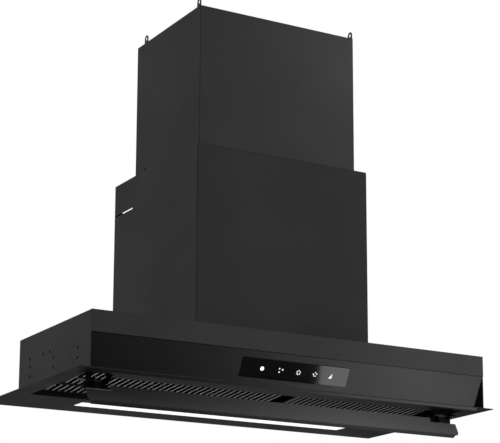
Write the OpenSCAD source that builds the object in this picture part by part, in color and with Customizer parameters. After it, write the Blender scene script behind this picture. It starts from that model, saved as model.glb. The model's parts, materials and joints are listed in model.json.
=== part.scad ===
// Range hood with a slanted touch panel, a trim flange, a hinged steam deflector and a telescoping chimney.
// X runs across the hood, Y = 0 is the wall behind it, and Z = 0 is the underside of the trim flange.

/* [Trim flange] */
// Width of the trim flange across the hood
flange_w = 900; // [880:5:960]
// Depth of the trim flange from the wall to its front edge
flange_d = 448; // [440:2:480]
// Thickness of the flange plate
flange_t = 1.5; // [1:0.1:2]
// Width of the flange strip on each side of the intake opening
flange_side = 40; // [36:1:46]
// Width of the flange strip in front of the intake opening
flange_front = 44; // [42:1:48]

/* [Canopy] */
// How far the flange stands out past each side of the canopy
canopy_inset = 22; // [18:1:26]
// Distance of the canopy's back from the wall
canopy_setback = 124; // [122:1:130]
// Height of the canopy above the flange's underside
canopy_h = 105; // [98:1:120]
// Thickness of the folded steel sheet
sheet = 1.2; // [0.8:0.1:1.5]
// Height of the upright rail above the slanted control panel
rail_h = 41; // [34:1:44]
// How far the control panel's foot stands behind its top edge
fascia_run = 33; // [28:1:35]
// Radius of the cabinet fixing holes in the canopy's sides
side_hole_r = 2.6; // [2:0.1:3.5]

/* [Control panel] */
// Width of the touch glass
glass_w = 234; // [200:2:260]
// Height of the touch glass along the slope
glass_h = 38; // [30:1:40]
// Thickness of the touch glass
glass_t = 3; // [2.5:0.1:4]
// How far the touch glass stands proud of the slanted panel
glass_proud = 0.8; // [0.4:0.1:1]

/* [Light] */
// Length of the light strip
light_w = 610; // [500:5:640]
// Width of the light strip
light_d = 39; // [30:1:46]
// Sideways place of the light strip's middle
light_x = 18; // [0:1:24]
// Distance of the light strip's middle from the wall
light_y = 87.5; // [80:0.5:92]

/* [Grease filters] */
// Sideways place of the gap between the two filters
split_x = 72; // [0:1:80]
// Width of the gap between the two filters
split_gap = 28; // [18:1:30]
// Height of a filter tray
filter_h = 10; // [9:0.5:12]
// Slope of the filters, their front edge being the higher
filter_tilt = 4.6; // [3:0.1:6]
// Spacing of the filter slots
slot_pitch = 12.6; // [10:0.1:16]
// Width of each filter slot
slot_w = 6.3; // [4:0.1:7.5]

/* [Steam deflector] */
// Gap between the left end of the hinged deflector strip and the side of the opening
flap_inset = 3; // [2:0.5:12]
// Gap between the right end of the deflector strip and the side of the opening
flap_inset_right = 7.5; // [2:0.5:12]
// Height of the deflector strip below its hinge
flap_h = 46; // [40:0.2:52]
// Radius of the deflector strip's lower corners
flap_corner = 8; // [4:0.5:12]
// Lean of the deflector strip from upright, its lower edge being forward
flap_lean = 26.6; // [20:0.2:32]
// Length of the deflector's left end notch
notch_left = 49; // [44:1:60]
// Length of the deflector's right end notch
notch_right = 60; // [56:1:80]
// Radius of the deflector's hinge pins
flap_pin_r = 2; // [1.5:0.1:2.5]

/* [Chimney] */
// Width of the lower chimney cover
lower_w = 383; // [379:1:400]
// Height of the lower cover's top edge above the flange's underside
lower_top = 466; // [450:2:480]
// Width of the upper chimney cover
upper_w = 354; // [352:1:358]
// Front to back depth of the upper chimney cover
upper_d = 274; // [268:1:276]
// Distance of the upper cover's front face from the wall
upper_front = 370; // [368:1:374]
// Height of the upper cover's top edge above the flange's underside
upper_top = 755; // [730:1:770]
// Full height of the upper cover, its hidden lower part included
upper_h = 480; // [440:5:490]
// Width of the eyelets on the upper cover's top edge
tab_w = 15; // [9:0.5:18]
// Height of the eyelets above the upper cover's top edge
tab_h = 16.5; // [14:0.5:22]
// Radius of the holes that lock the upper cover's height
lock_hole_r = 2.6; // [2:0.1:3.2]

/* [Blower] */
// Radius of the fan wheel
wheel_r = 82; // [70:1:84]
// Length of the fan wheel along its shaft
wheel_len = 92; // [80:1:95]
// Number of blades on the fan wheel
blade_count = 36; // [24:1:40]
// Radius of the motor can
motor_r = 46; // [38:1:52]
// Radius of the fan shaft
shaft_r = 4; // [3:0.5:5]
// Outer radius of the duct collar
collar_r = 75; // [60:1:76]
// Height of the duct collar above the fan box
collar_h = 42; // [38:1:50]

/* [Hidden] */
$fn = 48;

// Clearances shared by several pieces
gap = 0.3;
run_gap = 0.05;
black = [0.07, 0.07, 0.08];
zinc = [0.62, 0.64, 0.66];

// Heights and depths of the canopy
canopy_front = -flange_d + 1;
canopy_back = -canopy_setback;
half_w = flange_w / 2 - canopy_inset;
side_in = half_w - sheet;
rail_z = canopy_h - rail_h;
rail_lip = 16;
fascia_top_y = canopy_front + sheet + gap;
fascia_foot_y = fascia_top_y + fascia_run;
fascia_tilt = atan(fascia_run / (rail_z - flange_t));
fascia_len = (rail_z - flange_t) / cos(fascia_tilt);
glass_up = fascia_len * 0.538;
lip = 12;

// Intake opening in the flange
open_x = flange_w / 2 - flange_side;
open_front = -flange_d + flange_front;
rear_strip = 16;
open_rear = canopy_back - rear_strip;

// Filter places: each filter turns about the ledge that carries its front edge
filter_sheet = 1;
pivot_y = open_front + lip;
filter_rear_y = open_rear - 11;
filter_rear_z = 6.3;
filter_front_run = 8;
pivot_z = filter_rear_z + (filter_rear_y - pivot_y) * tan(filter_tilt);
ledge_top = pivot_z - gap;
rail_foot = 30;
foot_gap = 2;
filter_y0 = -filter_front_run;
filter_y1 = (filter_rear_y - pivot_y) / cos(filter_tilt);
filter_out_x = open_x - 4;
filter_split = [split_x - split_gap / 2, split_x + split_gap / 2];
left_span = [-filter_out_x, filter_split[0]];
right_span = [filter_split[1], filter_out_x];
slot_front = 7;
slot_break = 167;
slot_rear = filter_y1 - 14;
tongue_z = filter_h * 0.75;
tongue_t = 2.2;
tongue_reach = 6;
latch_w = 36;
rear_lip_z = filter_rear_z + (tongue_z - tongue_reach * tan(filter_tilt)) * cos(filter_tilt) - gap;
rear_lip = 8;
rear_web_y = open_rear;

// Deflector hinge: the pins lie above the strip's top edge
hinge_y = open_front + 28;
hinge_z = -8;
flap_ends = [-open_x + flap_inset, open_x - flap_inset_right];
flap_notches = [[flap_ends[0], flap_ends[0] + notch_left], [flap_ends[1] - notch_right, flap_ends[1]]];
flap_top = 9;
flap_hem = 10;
notch_depth = 18.4;
notch_rim = 4;
bracket_half = 21;
ear_t = 3;
bracket_left_x = flap_ends[0] + notch_left / 2;
bracket_right_x = flap_ends[1] - notch_right / 2;
bracket_back_y = [hinge_y + 5, hinge_y + 8];
bracket_back_z = [hinge_z - 16, hinge_z + 3];
bracket_back_in = 2;
knuckle_r = 3.6;
knuckle_half = 7;

// Chimney and fan box
chimney_sheet = 1;
lower_front = upper_front + 22;
lower_back = 144;
frame_back = 30;
frame_sheet = 1.2;
frame_x = lower_w / 2 - chimney_sheet - gap;
upper_z0 = upper_top - upper_h;
upper_back = upper_front - upper_d;
box_gap = 6;
box_x = upper_w / 2 - chimney_sheet - box_gap;
box_front = -upper_front + chimney_sheet + box_gap;
box_back = canopy_back - 1;
box_top = 392;
air_x = 150;
air_front = box_front + 16;
air_back = box_back - 15;

// Blower: the shaft runs front to back
fan_x = -60;
fan_z = 236;
scroll_t = 1.2;
scroll_r0 = wheel_r + 10;
scroll_r1 = wheel_r + 44;
cutoff_angle = 68;
scroll_front = box_front + 46;
scroll_len = wheel_len + 14;
scroll_back = scroll_front + scroll_len;
outlet_top = box_top - sheet;
duct_y = (scroll_front + scroll_back) / 2;
wheel_front = scroll_front + scroll_t + 5;
wheel_back = wheel_front + wheel_len;
inlet_r = wheel_r - 10;
motor_front = scroll_back + 6;
motor_l = 66;
motor_len = min(motor_l, box_back - sheet - motor_front - 6);
shaft_reach = 34;
bearing_r = 11;
bearing_len = 7;
pad_pcd_r = motor_r * 0.8;
damper_gap = 1.2;
damper_z = box_top + collar_h * 0.42;
collar_t = 1.2;
leaf_t = 1;
pin_r = 1.5;
leaf_offset = 4.2;

// Bars and boxes given by their corners
module block(x, y, z) {
    translate([x[0], y[0], z[0]])
        cube([x[1] - x[0], y[1] - y[0], z[1] - z[0]]);
}

// A front to back outline drawn as [y, z] points and carried along X
module along_x(x) {
    translate([x[0], 0, 0])
        rotate([90, 0, 90])
            linear_extrude(x[1] - x[0])
                children();
}

// A round bar or hole along X, Y or Z, from its start
module bar_x(r, x, y, z) {
    translate([x[0], y, z])
        rotate([0, 90, 0])
            cylinder(r = r, h = x[1] - x[0]);
}

module bar_y(r, x, y, z) {
    translate([x, y[0], z])
        rotate([-90, 0, 0])
            cylinder(r = r, h = y[1] - y[0]);
}

module bar_z(r, x, y, z) {
    translate([x, y, z[0]])
        cylinder(r = r, h = z[1] - z[0]);
}

// Local frame of the slanted control panel: Y runs up the slope and Z points out of it
module on_fascia() {
    translate([0, fascia_foot_y, flange_t])
        rotate([90 + fascia_tilt, 0, 0])
            children();
}

// Local frame of the filters: Y runs down the slope to the rear
module on_filter() {
    translate([0, pivot_y, pivot_z])
        rotate([-filter_tilt, 0, 0])
            children();
}

// Local frame of the deflector: its hinge line is X, and the strip hangs along -Z
module on_flap() {
    translate([0, hinge_y, hinge_z])
        rotate([-flap_lean, 0, 0])
            children();
}

function fascia_y(z) = fascia_foot_y - (z - flange_t) * tan(fascia_tilt);
function filter_z(y) = filter_rear_z + (filter_rear_y - y) * tan(filter_tilt);

module bottom_flange() {
    lip_h = 5;
    color(black) {
        difference() {
            block([-flange_w / 2, flange_w / 2], [-flange_d, 0], [0, flange_t]);
            block([-open_x, open_x], [open_front, open_rear], [-1, flange_t + 1]);
            translate([light_x, -light_y, flange_t / 2])
                cube([light_w + 2 * gap, light_d + 2 * gap, flange_t * 3], center = true);
        }
        for (side = [-1, 1])
            translate([side * (open_x + sheet / 2), (open_front + open_rear) / 2, flange_t + lip_h / 2])
                cube([sheet, open_rear - open_front - 2 * lip, lip_h], center = true);
    }
}

// Places of the fixing holes along each side, as [distance from the canopy's back, height]
side_rows = [[53, 45], [53, 27], [161, 45], [161, 27], [267, 45], [267, 27]];
side_high = [[52, 59], [115, 59], [144, 59]];

module canopy_shell() {
    color(black)
        difference() {
            union() {
                block([-half_w, half_w], [canopy_front + sheet, canopy_back], [canopy_h - sheet, canopy_h]);
                for (side = [-1, 1]) {
                    x_low = side < 0 ? -half_w : side_in;
                    block([x_low, x_low + sheet], [canopy_front + sheet, canopy_back], [flange_t, canopy_h]);
                    lip_x = side < 0 ? -half_w : half_w - lip;
                    block([lip_x, lip_x + lip], [pivot_y, canopy_back], [flange_t, flange_t + sheet]);
                }
                block([-half_w, half_w], [canopy_back - sheet, canopy_back], [flange_t, canopy_h]);
            }
            block([-air_x, air_x], [air_front, air_back], [canopy_h - 2 * sheet, canopy_h + 1]);
            for (place = concat(side_rows, side_high))
                bar_x(side_hole_r, [-half_w - 1, half_w + 1], canopy_back - place[0], place[1]);
            bar_y(gland_r + gap, gland_x, [canopy_back - 2 * sheet, canopy_back + 1], gland_z);
        }
}

module front_rail() {
    top = canopy_h - sheet;
    color(black) {
        block([-half_w, half_w], [canopy_front, canopy_front + sheet], [rail_z, canopy_h]);
        block([-side_in, side_in], [canopy_front + sheet, canopy_front + rail_lip], [top - sheet, top]);
        block([-side_in, side_in], [canopy_front + sheet, canopy_front + rail_lip], [rail_z, rail_z + sheet]);
    }
}

module control_fascia() {
    skin = sheet / cos(fascia_tilt);
    color(black)
        difference() {
            along_x([-side_in + gap, side_in - gap])
                polygon([
                    [fascia_y(flange_t), flange_t],
                    [fascia_y(rail_z), rail_z],
                    [fascia_y(rail_z) + lip, rail_z],
                    [fascia_y(rail_z) + lip, rail_z - sheet],
                    [fascia_y(rail_z - sheet) + skin, rail_z - sheet],
                    [fascia_y(flange_t + sheet) + skin, flange_t + sheet],
                    [fascia_foot_y + lip / 2, flange_t + sheet],
                    [fascia_foot_y + lip / 2, flange_t]
                ]);
            on_fascia()
                translate([0, glass_up, 0])
                    cube([glass_w + 2 * gap, glass_h + 2 * gap, 4 * sheet], center = true);
        }
}

glass_back = glass_proud - glass_t;
board_w = glass_w - 34;
board_h = glass_h - 13;
board_t = 1.6;
carrier_back = -sheet - 11;

module control_glass() {
    color([0.03, 0.03, 0.04])
        on_fascia()
            translate([0, glass_up, glass_back + glass_t / 2])
                cube([glass_w, glass_h, glass_t], center = true);
}

module control_carrier() {
    rim = 8;
    color([0.12, 0.12, 0.13])
        on_fascia()
            translate([0, glass_up, 0])
                difference() {
                    translate([-glass_w / 2 - rim, -(glass_h + rim) / 2, carrier_back])
                        cube([glass_w + 2 * rim, glass_h + rim, -carrier_back - sheet - run_gap]);
                    translate([0, 0, glass_back])
                        translate([-glass_w / 2 - gap, -glass_h / 2 - gap, 0])
                            cube([glass_w + 2 * gap, glass_h + 2 * gap, glass_t]);
                    translate([-board_w / 2 - gap, -board_h / 2 - gap, carrier_back + 2])
                        cube([board_w + 2 * gap, board_h + 2 * gap, -carrier_back]);
                }
}

module touch_board() {
    board_top = glass_back - gap;
    color([0.05, 0.25, 0.12])
        on_fascia()
            translate([0, glass_up, 0]) {
                translate([-board_w / 2, -board_h / 2, board_top - board_t])
                    cube([board_w, board_h, board_t]);
                for (part = [-0.36, -0.12, 0.12, 0.36])
                    translate([part * board_w, 0, board_top - board_t - 1])
                        cube([12, 9, 2], center = true);
            }
}

tray_edge = 14;
tray_rim = 10;
tray_h = 15;
led_step = 20;
led_board_w = 14;

module light_tray() {
    x_low = light_x - light_w / 2 - tray_edge;
    x_high = light_x + light_w / 2 + tray_edge;
    y_low = -light_y - light_d / 2 - tray_rim;
    y_high = -light_y + light_d / 2 + tray_rim;
    color(zinc)
        difference() {
            block([x_low, x_high], [y_low, y_high], [flange_t, flange_t + tray_h]);
            block([x_low + sheet, x_high - sheet], [y_low + sheet, y_high - sheet],
                [0, flange_t + tray_h - sheet]);
            bar_z(4, x_low + 30, -light_y, [flange_t + tray_h - 2 * sheet, flange_t + tray_h + 1]);
        }
}

module led_diffuser() {
    flange_lip = 4;
    color([0.95, 0.96, 0.97]) {
        block([light_x - light_w / 2, light_x + light_w / 2],
            [-light_y - light_d / 2, -light_y + light_d / 2], [-gap, flange_t + 1]);
        block([light_x - light_w / 2 - flange_lip, light_x + light_w / 2 + flange_lip],
            [-light_y - light_d / 2 - flange_lip, -light_y + light_d / 2 + flange_lip],
            [flange_t, flange_t + 2]);
    }
}

module led_board() {
    board_z = flange_t + tray_h - sheet;
    led_count = floor(light_w / led_step);
    color([0.9, 0.9, 0.85]) {
        block([light_x - light_w / 2 + 4, light_x + light_w / 2 - 4],
            [-light_y - led_board_w / 2, -light_y + led_board_w / 2], [board_z - board_t, board_z]);
        for (i = [0 : led_count - 1])
            translate([light_x + (i - (led_count - 1) / 2) * led_step, -light_y, board_z - 2])
                cube([5, 5, 1.6], center = true);
    }
}

// Front rail of the filters: a web with a ledge above, and a foot between the brackets
module filter_rail_front() {
    foot_span = [bracket_left_x + bracket_half + foot_gap, bracket_right_x - bracket_half - foot_gap];
    foot_up = flange_t + 3;
    color(black) {
        along_x(foot_span)
            polygon([
                [open_front - sheet, flange_t],
                [open_front, flange_t],
                [open_front, 0],
                [open_front + rail_foot, 0],
                [open_front + rail_foot, sheet],
                [open_front + sheet, sheet],
                [open_front + sheet, foot_up],
                [open_front - sheet, foot_up]
            ]);
        along_x([-open_x, open_x])
            polygon([
                [open_front - sheet, flange_t],
                [open_front - sheet, ledge_top],
                [pivot_y, ledge_top],
                [pivot_y, ledge_top - sheet],
                [open_front, ledge_top - sheet],
                [open_front, flange_t]
            ]);
    }
}

module filter_rail_rear() {
    color(black)
        along_x([-open_x, open_x])
            polygon([
                [rear_web_y, flange_t],
                [rear_web_y, rear_lip_z - sheet],
                [rear_web_y - rear_lip, rear_lip_z - sheet],
                [rear_web_y - rear_lip, rear_lip_z],
                [rear_web_y + sheet, rear_lip_z],
                [rear_web_y + sheet, flange_t + sheet],
                [canopy_back - sheet, flange_t + sheet],
                [canopy_back - sheet, flange_t]
            ]);
}

// Dark bar that closes the gap between the two filters from above
module filter_divider() {
    under = filter_h - 1;
    front_y = open_front;
    rear_y = rear_web_y - rear_lip + 6;
    color(black)
        along_x([filter_split[0] + 2, filter_split[1] - 2])
            polygon([
                [front_y, ledge_top],
                [front_y, filter_z(front_y) + filter_h + 1],
                [rear_y, filter_z(rear_y) + filter_h + 1],
                [rear_y, rear_lip_z],
                [rear_y - 2, rear_lip_z],
                [rear_y - 2, filter_z(rear_y - 2) + under],
                [front_y + 2, filter_z(front_y + 2) + under],
                [front_y + 2, ledge_top]
            ]);
}

// Slotted tray with a raised rim; the latch slides in a window at the middle of its rear edge
module filter_tray(span) {
    mid = (span[0] + span[1]) / 2;
    first = span[0] + 16;
    slots = floor((span[1] - span[0] - 32) / slot_pitch);
    start = mid - (slots - 1) * slot_pitch / 2;
    on_filter() {
        difference() {
            block(span, [filter_y0, filter_y1], [0, filter_h]);
            block([span[0] + filter_sheet, span[1] - filter_sheet],
                [filter_y0 + filter_sheet, filter_y1 - filter_sheet], [filter_sheet, filter_h + 1]);
            for (i = [0 : slots - 1]) {
                x = start + i * slot_pitch;
                block([x - slot_w / 2, x + slot_w / 2], [slot_front, slot_break], [-1, 2]);
                if (abs(x - mid) > latch_w / 2 + slot_pitch && x > first)
                    block([x - slot_w / 2, x + slot_w / 2], [slot_break + 15, slot_rear], [-1, 2]);
            }
            block([mid - latch_w * 0.42, mid + latch_w * 0.42],
                [filter_y1 - 38, filter_y1 - 12], [-1, 2]);
            block([mid - latch_w / 3 - gap, mid + latch_w / 3 + gap],
                [filter_y1 - 2, filter_y1 + 1], [tongue_z - gap, tongue_z + tongue_t + gap]);
        }
        for (side = [-1, 1])
            translate([mid + side * (latch_w / 2 + gap + 1), filter_y1 - 26, filter_sheet + 2.4])
                cube([2, 40, 4.8], center = true);
    }
}

module filter_left() {
    color(black)
        filter_tray(left_span);
}

module filter_right() {
    color(black)
        filter_tray(right_span);
}

module filter_latch(span) {
    mid = (span[0] + span[1]) / 2;
    low = filter_sheet + gap;
    on_filter() {
        difference() {
            block([mid - latch_w / 2, mid + latch_w / 2], [filter_y1 - 40, filter_y1 - 8],
                [low, tongue_z + tongue_t]);
            block([mid - latch_w * 0.36, mid + latch_w * 0.36], [filter_y1 - 36, filter_y1 - 24],
                [low + 2, tongue_z + tongue_t + 1]);
        }
        block([mid - latch_w / 3, mid + latch_w / 3], [filter_y1 - 9, filter_y1 + tongue_reach],
            [tongue_z, tongue_z + tongue_t]);
        block([mid - latch_w * 0.4, mid + latch_w * 0.4], [filter_y1 - 30, filter_y1 - 20], [-1, low + 1]);
    }
}

module filter_latch_left() {
    color([0.15, 0.15, 0.16])
        filter_latch(left_span);
}

module filter_latch_right() {
    color([0.15, 0.15, 0.16])
        filter_latch(right_span);
}

// Flat of the deflector strip with its lower corners rounded
module flap_plate(half_t) {
    low_ends = [flap_ends[0] + flap_corner, flap_ends[1] - flap_corner];
    block(flap_ends, [-half_t, half_t], [-flap_h + flap_corner, -flap_top]);
    block(low_ends, [-half_t, half_t], [-flap_h, -flap_top]);
    for (x = low_ends)
        bar_y(flap_corner, x, [-half_t, half_t], -flap_h + flap_corner);
    block(low_ends, [half_t, flap_hem], [-flap_h, -flap_h + sheet]);
}

module deflector_flap() {
    half_t = sheet / 2;
    color(black)
        on_flap() {
            difference() {
                flap_plate(half_t);
                block([flap_ends[0] - 1, flap_notches[0][1]], [-2, 2], [-notch_depth, 0]);
                block([flap_notches[1][0], flap_ends[1] + 1], [-2, 2], [-notch_depth, 0]);
            }
            for (span = flap_notches)
                block(span, [half_t, notch_rim], [-notch_depth - sheet, -notch_depth]);
            for (x = [bracket_left_x, bracket_right_x])
                difference() {
                    union() {
                        bar_x(knuckle_r, [x - knuckle_half, x + knuckle_half], 0, 0);
                        block([x - knuckle_half, x + knuckle_half], [-half_t, half_t],
                            [-notch_depth - 1, -knuckle_r / 2]);
                    }
                    bar_x(flap_pin_r + run_gap, [x - knuckle_half - 1, x + knuckle_half + 1], 0, 0);
                }
        }
}

// Two ears that hang from the front rail's web and hold a hinge pin, and a plate behind the notch
module flap_bracket(x, notch) {
    plate_y = open_front + 2;
    back_half = notch / 2 - bracket_back_in;
    for (side = [-1, 1]) {
        inner = x + side * (bracket_half - ear_t);
        outer = x + side * bracket_half;
        difference() {
            along_x([min(inner, outer), max(inner, outer)])
                polygon([
                    [open_front, ledge_top - sheet - 4],
                    [open_front, 3],
                    [hinge_y - 5, hinge_z - 5],
                    [hinge_y + 6, hinge_z - 5],
                    [hinge_y + 6, hinge_z + 4],
                    [plate_y + 4, ledge_top - sheet - 4]
                ]);
            bar_x(flap_pin_r + run_gap, [min(inner, outer) - 1, max(inner, outer) + 1], hinge_y, hinge_z);
        }
    }
    block([x - bracket_half, x + bracket_half], [open_front, plate_y], [3, ledge_top - sheet - 4]);
    block([x - back_half, x + back_half], bracket_back_y, bracket_back_z);
}

module flap_bracket_left() {
    color([0.1, 0.1, 0.1])
        flap_bracket(bracket_left_x, notch_left);
}

module flap_bracket_right() {
    color([0.1, 0.1, 0.1])
        flap_bracket(bracket_right_x, notch_right);
}

// Hinge pins with a head outside each outer ear; the left pin's bright end stands out past the strip
module flap_pins() {
    head_r = flap_pin_r + 1.6;
    color([0.85, 0.86, 0.88])
        for (x = [bracket_left_x, bracket_right_x]) {
            side = x < 0 ? -1 : 1;
            head_len = x < 0 ? 16 : 14;
            tip = x - side * (bracket_half + 2);
            head = x + side * (bracket_half + run_gap);
            end = head + side * head_len;
            bar_x(flap_pin_r, [min(tip, head), max(tip, head)], hinge_y, hinge_z);
            bar_x(head_r, [min(head, end), max(head, end)], hinge_y, hinge_z);
        }
}

module fan_box() {
    color(zinc) {
        difference() {
            block([-box_x, box_x], [box_front, box_back], [canopy_h, box_top]);
            block([-box_x + sheet, box_x - sheet], [box_front + sheet, box_back - sheet],
                [canopy_h - 1, box_top - sheet]);
            block([fan_x + outlet_left, fan_x + scroll_r1], [scroll_front + scroll_t, scroll_back - scroll_t],
                [box_top - 2 * sheet, box_top + 1]);
        }
        for (side = [-1, 1])
            block([side < 0 ? -box_x + sheet : box_x - lip, side < 0 ? -box_x + lip : box_x - sheet],
                [box_front + sheet, box_back - sheet], [canopy_h, canopy_h + sheet]);
    }
}

// Spiral outline of the scroll: it opens from the cut-off round to the outlet's straight side
spiral_steps = 40;
spiral_turn = 360 - cutoff_angle;
outlet_left = scroll_r0 * cos(cutoff_angle);
function spiral_r(i, grow) = scroll_r0 + (scroll_r1 - scroll_r0) * i / spiral_steps + grow;
function spiral_at(i, grow) = let (a = cutoff_angle + spiral_turn * i / spiral_steps)
    [spiral_r(i, grow) * cos(a), spiral_r(i, grow) * sin(a)];

module scroll_outline(grow, over = 0) {
    top = outlet_top - fan_z + over;
    cut_x = outlet_left - grow;
    polygon(concat(
        [[cut_x, top]],
        [for (i = [0 : spiral_steps]) spiral_at(i, grow)],
        [[scroll_r1 + grow, top]]
    ));
}

// Carries a scroll outline, drawn as [x, z], along Y
module along_y(y) {
    translate([fan_x, y[1], fan_z])
        rotate([90, 0, 0])
            linear_extrude(y[1] - y[0])
                children();
}

module scroll_housing() {
    color(zinc)
        difference() {
            along_y([scroll_front + scroll_t, scroll_back])
                scroll_outline(scroll_t);
            along_y([scroll_front, scroll_back - scroll_t])
                scroll_outline(0, 1);
            bar_y(bearing_r + 6, fan_x, [scroll_back - 5, scroll_back + 1], fan_z);
            for (a = [45 : 90 : 315])
                bar_y(3 + run_gap, fan_x + pad_pcd_r * cos(a), [scroll_back - 5, scroll_back + 1],
                    fan_z + pad_pcd_r * sin(a));
        }
}

// Front plate of the scroll with a rolled inlet mouth
module inlet_ring() {
    mouth = 5;
    color(zinc) {
        difference() {
            along_y([scroll_front, scroll_front + scroll_t])
                scroll_outline(scroll_t);
            bar_y(inlet_r, fan_x, [scroll_front - 1, scroll_front + scroll_t + 1], fan_z);
        }
        translate([fan_x, scroll_front, fan_z])
            rotate([90, 0, 0])
                rotate_extrude($fn = 96)
                    translate([inlet_r + mouth, 0])
                        difference() {
                            circle(mouth, $fn = 32);
                            circle(mouth - scroll_t, $fn = 32);
                            translate([-2 * mouth, -2 * mouth])
                                square([4 * mouth, 2 * mouth]);
                            translate([0, -mouth])
                                square([2 * mouth, 3 * mouth]);
                        }
    }
}

module fan_wheel() {
    disc_t = 2;
    ring_t = 3;
    blade_in = wheel_r - 15;
    color([0.2, 0.2, 0.22])
        translate([fan_x, wheel_back, fan_z])
            rotate([90, 0, 0])
                difference() {
                    union() {
                        cylinder(r = wheel_r, h = disc_t, $fn = 96);
                        cylinder(r = shaft_r * 4, h = shaft_reach - 10);
                        for (i = [0 : blade_count - 1])
                            rotate(i * 360 / blade_count)
                                translate([blade_in, 0, disc_t / 2])
                                    rotate(38)
                                        cube([15.5, 0.9, wheel_len - disc_t / 2 - ring_t / 2]);
                        translate([0, 0, wheel_len - ring_t])
                            difference() {
                                cylinder(r = wheel_r, h = ring_t, $fn = 96);
                                translate([0, 0, -1])
                                    cylinder(r = blade_in + 2, h = ring_t + 2, $fn = 96);
                            }
                    }
                    translate([0, 0, -1])
                        cylinder(r = shaft_r, h = shaft_reach + 6);
                }
}

module rotor_shaft() {
    color([0.8, 0.8, 0.82])
        bar_y(shaft_r, fan_x, [wheel_back - shaft_reach, motor_front + motor_len - 2], fan_z);
}

module wheel_nut() {
    nut_front = wheel_back - shaft_reach + 3;
    color([0.7, 0.7, 0.72])
        difference() {
            translate([fan_x, nut_front + 7, fan_z])
                rotate([90, 0, 0])
                    cylinder(r = shaft_r * 1.9, h = 7, $fn = 6);
            bar_y(shaft_r, fan_x, [nut_front - 1, nut_front + 8], fan_z);
        }
}

module motor() {
    seat = bearing_len + run_gap;
    color([0.45, 0.46, 0.48])
        difference() {
            union() {
                bar_y(motor_r, fan_x, [motor_front, motor_front + motor_len], fan_z);
                bar_y(bearing_r + 4, fan_x, [motor_front - 3, motor_front + 1], fan_z);
            }
            bar_y(shaft_r + 1, fan_x, [motor_front - 4, motor_front + motor_len - 1], fan_z);
            bar_y(bearing_r, fan_x, [motor_front - 4, motor_front - 3 + seat], fan_z);
            bar_y(bearing_r, fan_x, [motor_front + motor_len - 2 - seat, motor_front + motor_len - 1], fan_z);
            for (a = [45 : 90 : 315])
                bar_y(2, fan_x + pad_pcd_r * cos(a), [motor_front - 1, motor_front + 11],
                    fan_z + pad_pcd_r * sin(a));
        }
}

module motor_bearings() {
    rear = motor_front + motor_len - 2 - bearing_len;
    color([0.75, 0.76, 0.78])
        for (y = [motor_front - 3, rear])
            difference() {
                bar_y(bearing_r, fan_x, [y, y + bearing_len], fan_z);
                bar_y(shaft_r + run_gap, fan_x, [y - 1, y + bearing_len + 1], fan_z);
            }
}

// Rubber pads between the motor and the scroll's back plate
module motor_grommets() {
    color([0.1, 0.1, 0.1])
        for (a = [45 : 90 : 315])
            difference() {
                bar_y(7, fan_x + pad_pcd_r * cos(a), [scroll_back, motor_front], fan_z + pad_pcd_r * sin(a));
                bar_y(2 + run_gap, fan_x + pad_pcd_r * cos(a), [scroll_back - 1, motor_front + 1],
                    fan_z + pad_pcd_r * sin(a));
            }
}

module motor_screws() {
    color([0.7, 0.7, 0.72])
        for (a = [45 : 90 : 315]) {
            x = fan_x + pad_pcd_r * cos(a);
            z = fan_z + pad_pcd_r * sin(a);
            bar_y(2, x, [scroll_back - scroll_t - 0.5, motor_front + 8], z);
            bar_y(4.5, x, [scroll_back - scroll_t - 2.5, scroll_back - scroll_t], z);
        }
}

cap_r = 17;
cap_x = box_x - sheet - cap_r - 4;
cap_y = box_back - sheet - cap_r - 4;
cap_h = 62;
cap_z = canopy_h + cap_h * 0.65;
cap_tag = 8;

module capacitor() {
    color([0.85, 0.86, 0.88]) {
        bar_z(cap_r, cap_x, cap_y, [cap_z, cap_z + cap_h]);
        for (side = [-1, 1])
            translate([cap_x + side * cap_r / 3, cap_y, cap_z + cap_h + cap_tag / 2 - 1])
                cube([1, cap_r / 3, cap_tag], center = true);
    }
}

module capacitor_clip() {
    clip_z = cap_z + cap_h / 3;
    clip_h = 14;
    color(zinc)
        difference() {
            union() {
                bar_z(cap_r + 1.5, cap_x, cap_y, [clip_z, clip_z + clip_h]);
                block([cap_x - 7, cap_x + 7], [cap_y, box_back - sheet], [clip_z, clip_z + clip_h]);
            }
            bar_z(cap_r + run_gap, cap_x, cap_y, [clip_z - 1, clip_z + clip_h + 1]);
        }
}

module outlet_collar() {
    flange_r = collar_r + 12;
    color([0.2, 0.2, 0.22])
        difference() {
            union() {
                bar_z(collar_r, 0, duct_y, [box_top, box_top + collar_h], $fn = 96);
                bar_z(flange_r, 0, duct_y, [box_top, box_top + 1.5], $fn = 96);
            }
            bar_z(collar_r - collar_t, 0, duct_y, [box_top - 1, box_top + collar_h + 1], $fn = 96);
            for (side = [-1, 1])
                bar_x(pin_r, side < 0 ? [-collar_r - 1, 0] : [0, collar_r + 1], duct_y, damper_z);
        }
}

module damper_pin() {
    color([0.8, 0.8, 0.82])
        bar_x(pin_r - run_gap, [-collar_r, collar_r], duct_y, damper_z);
}

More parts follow.
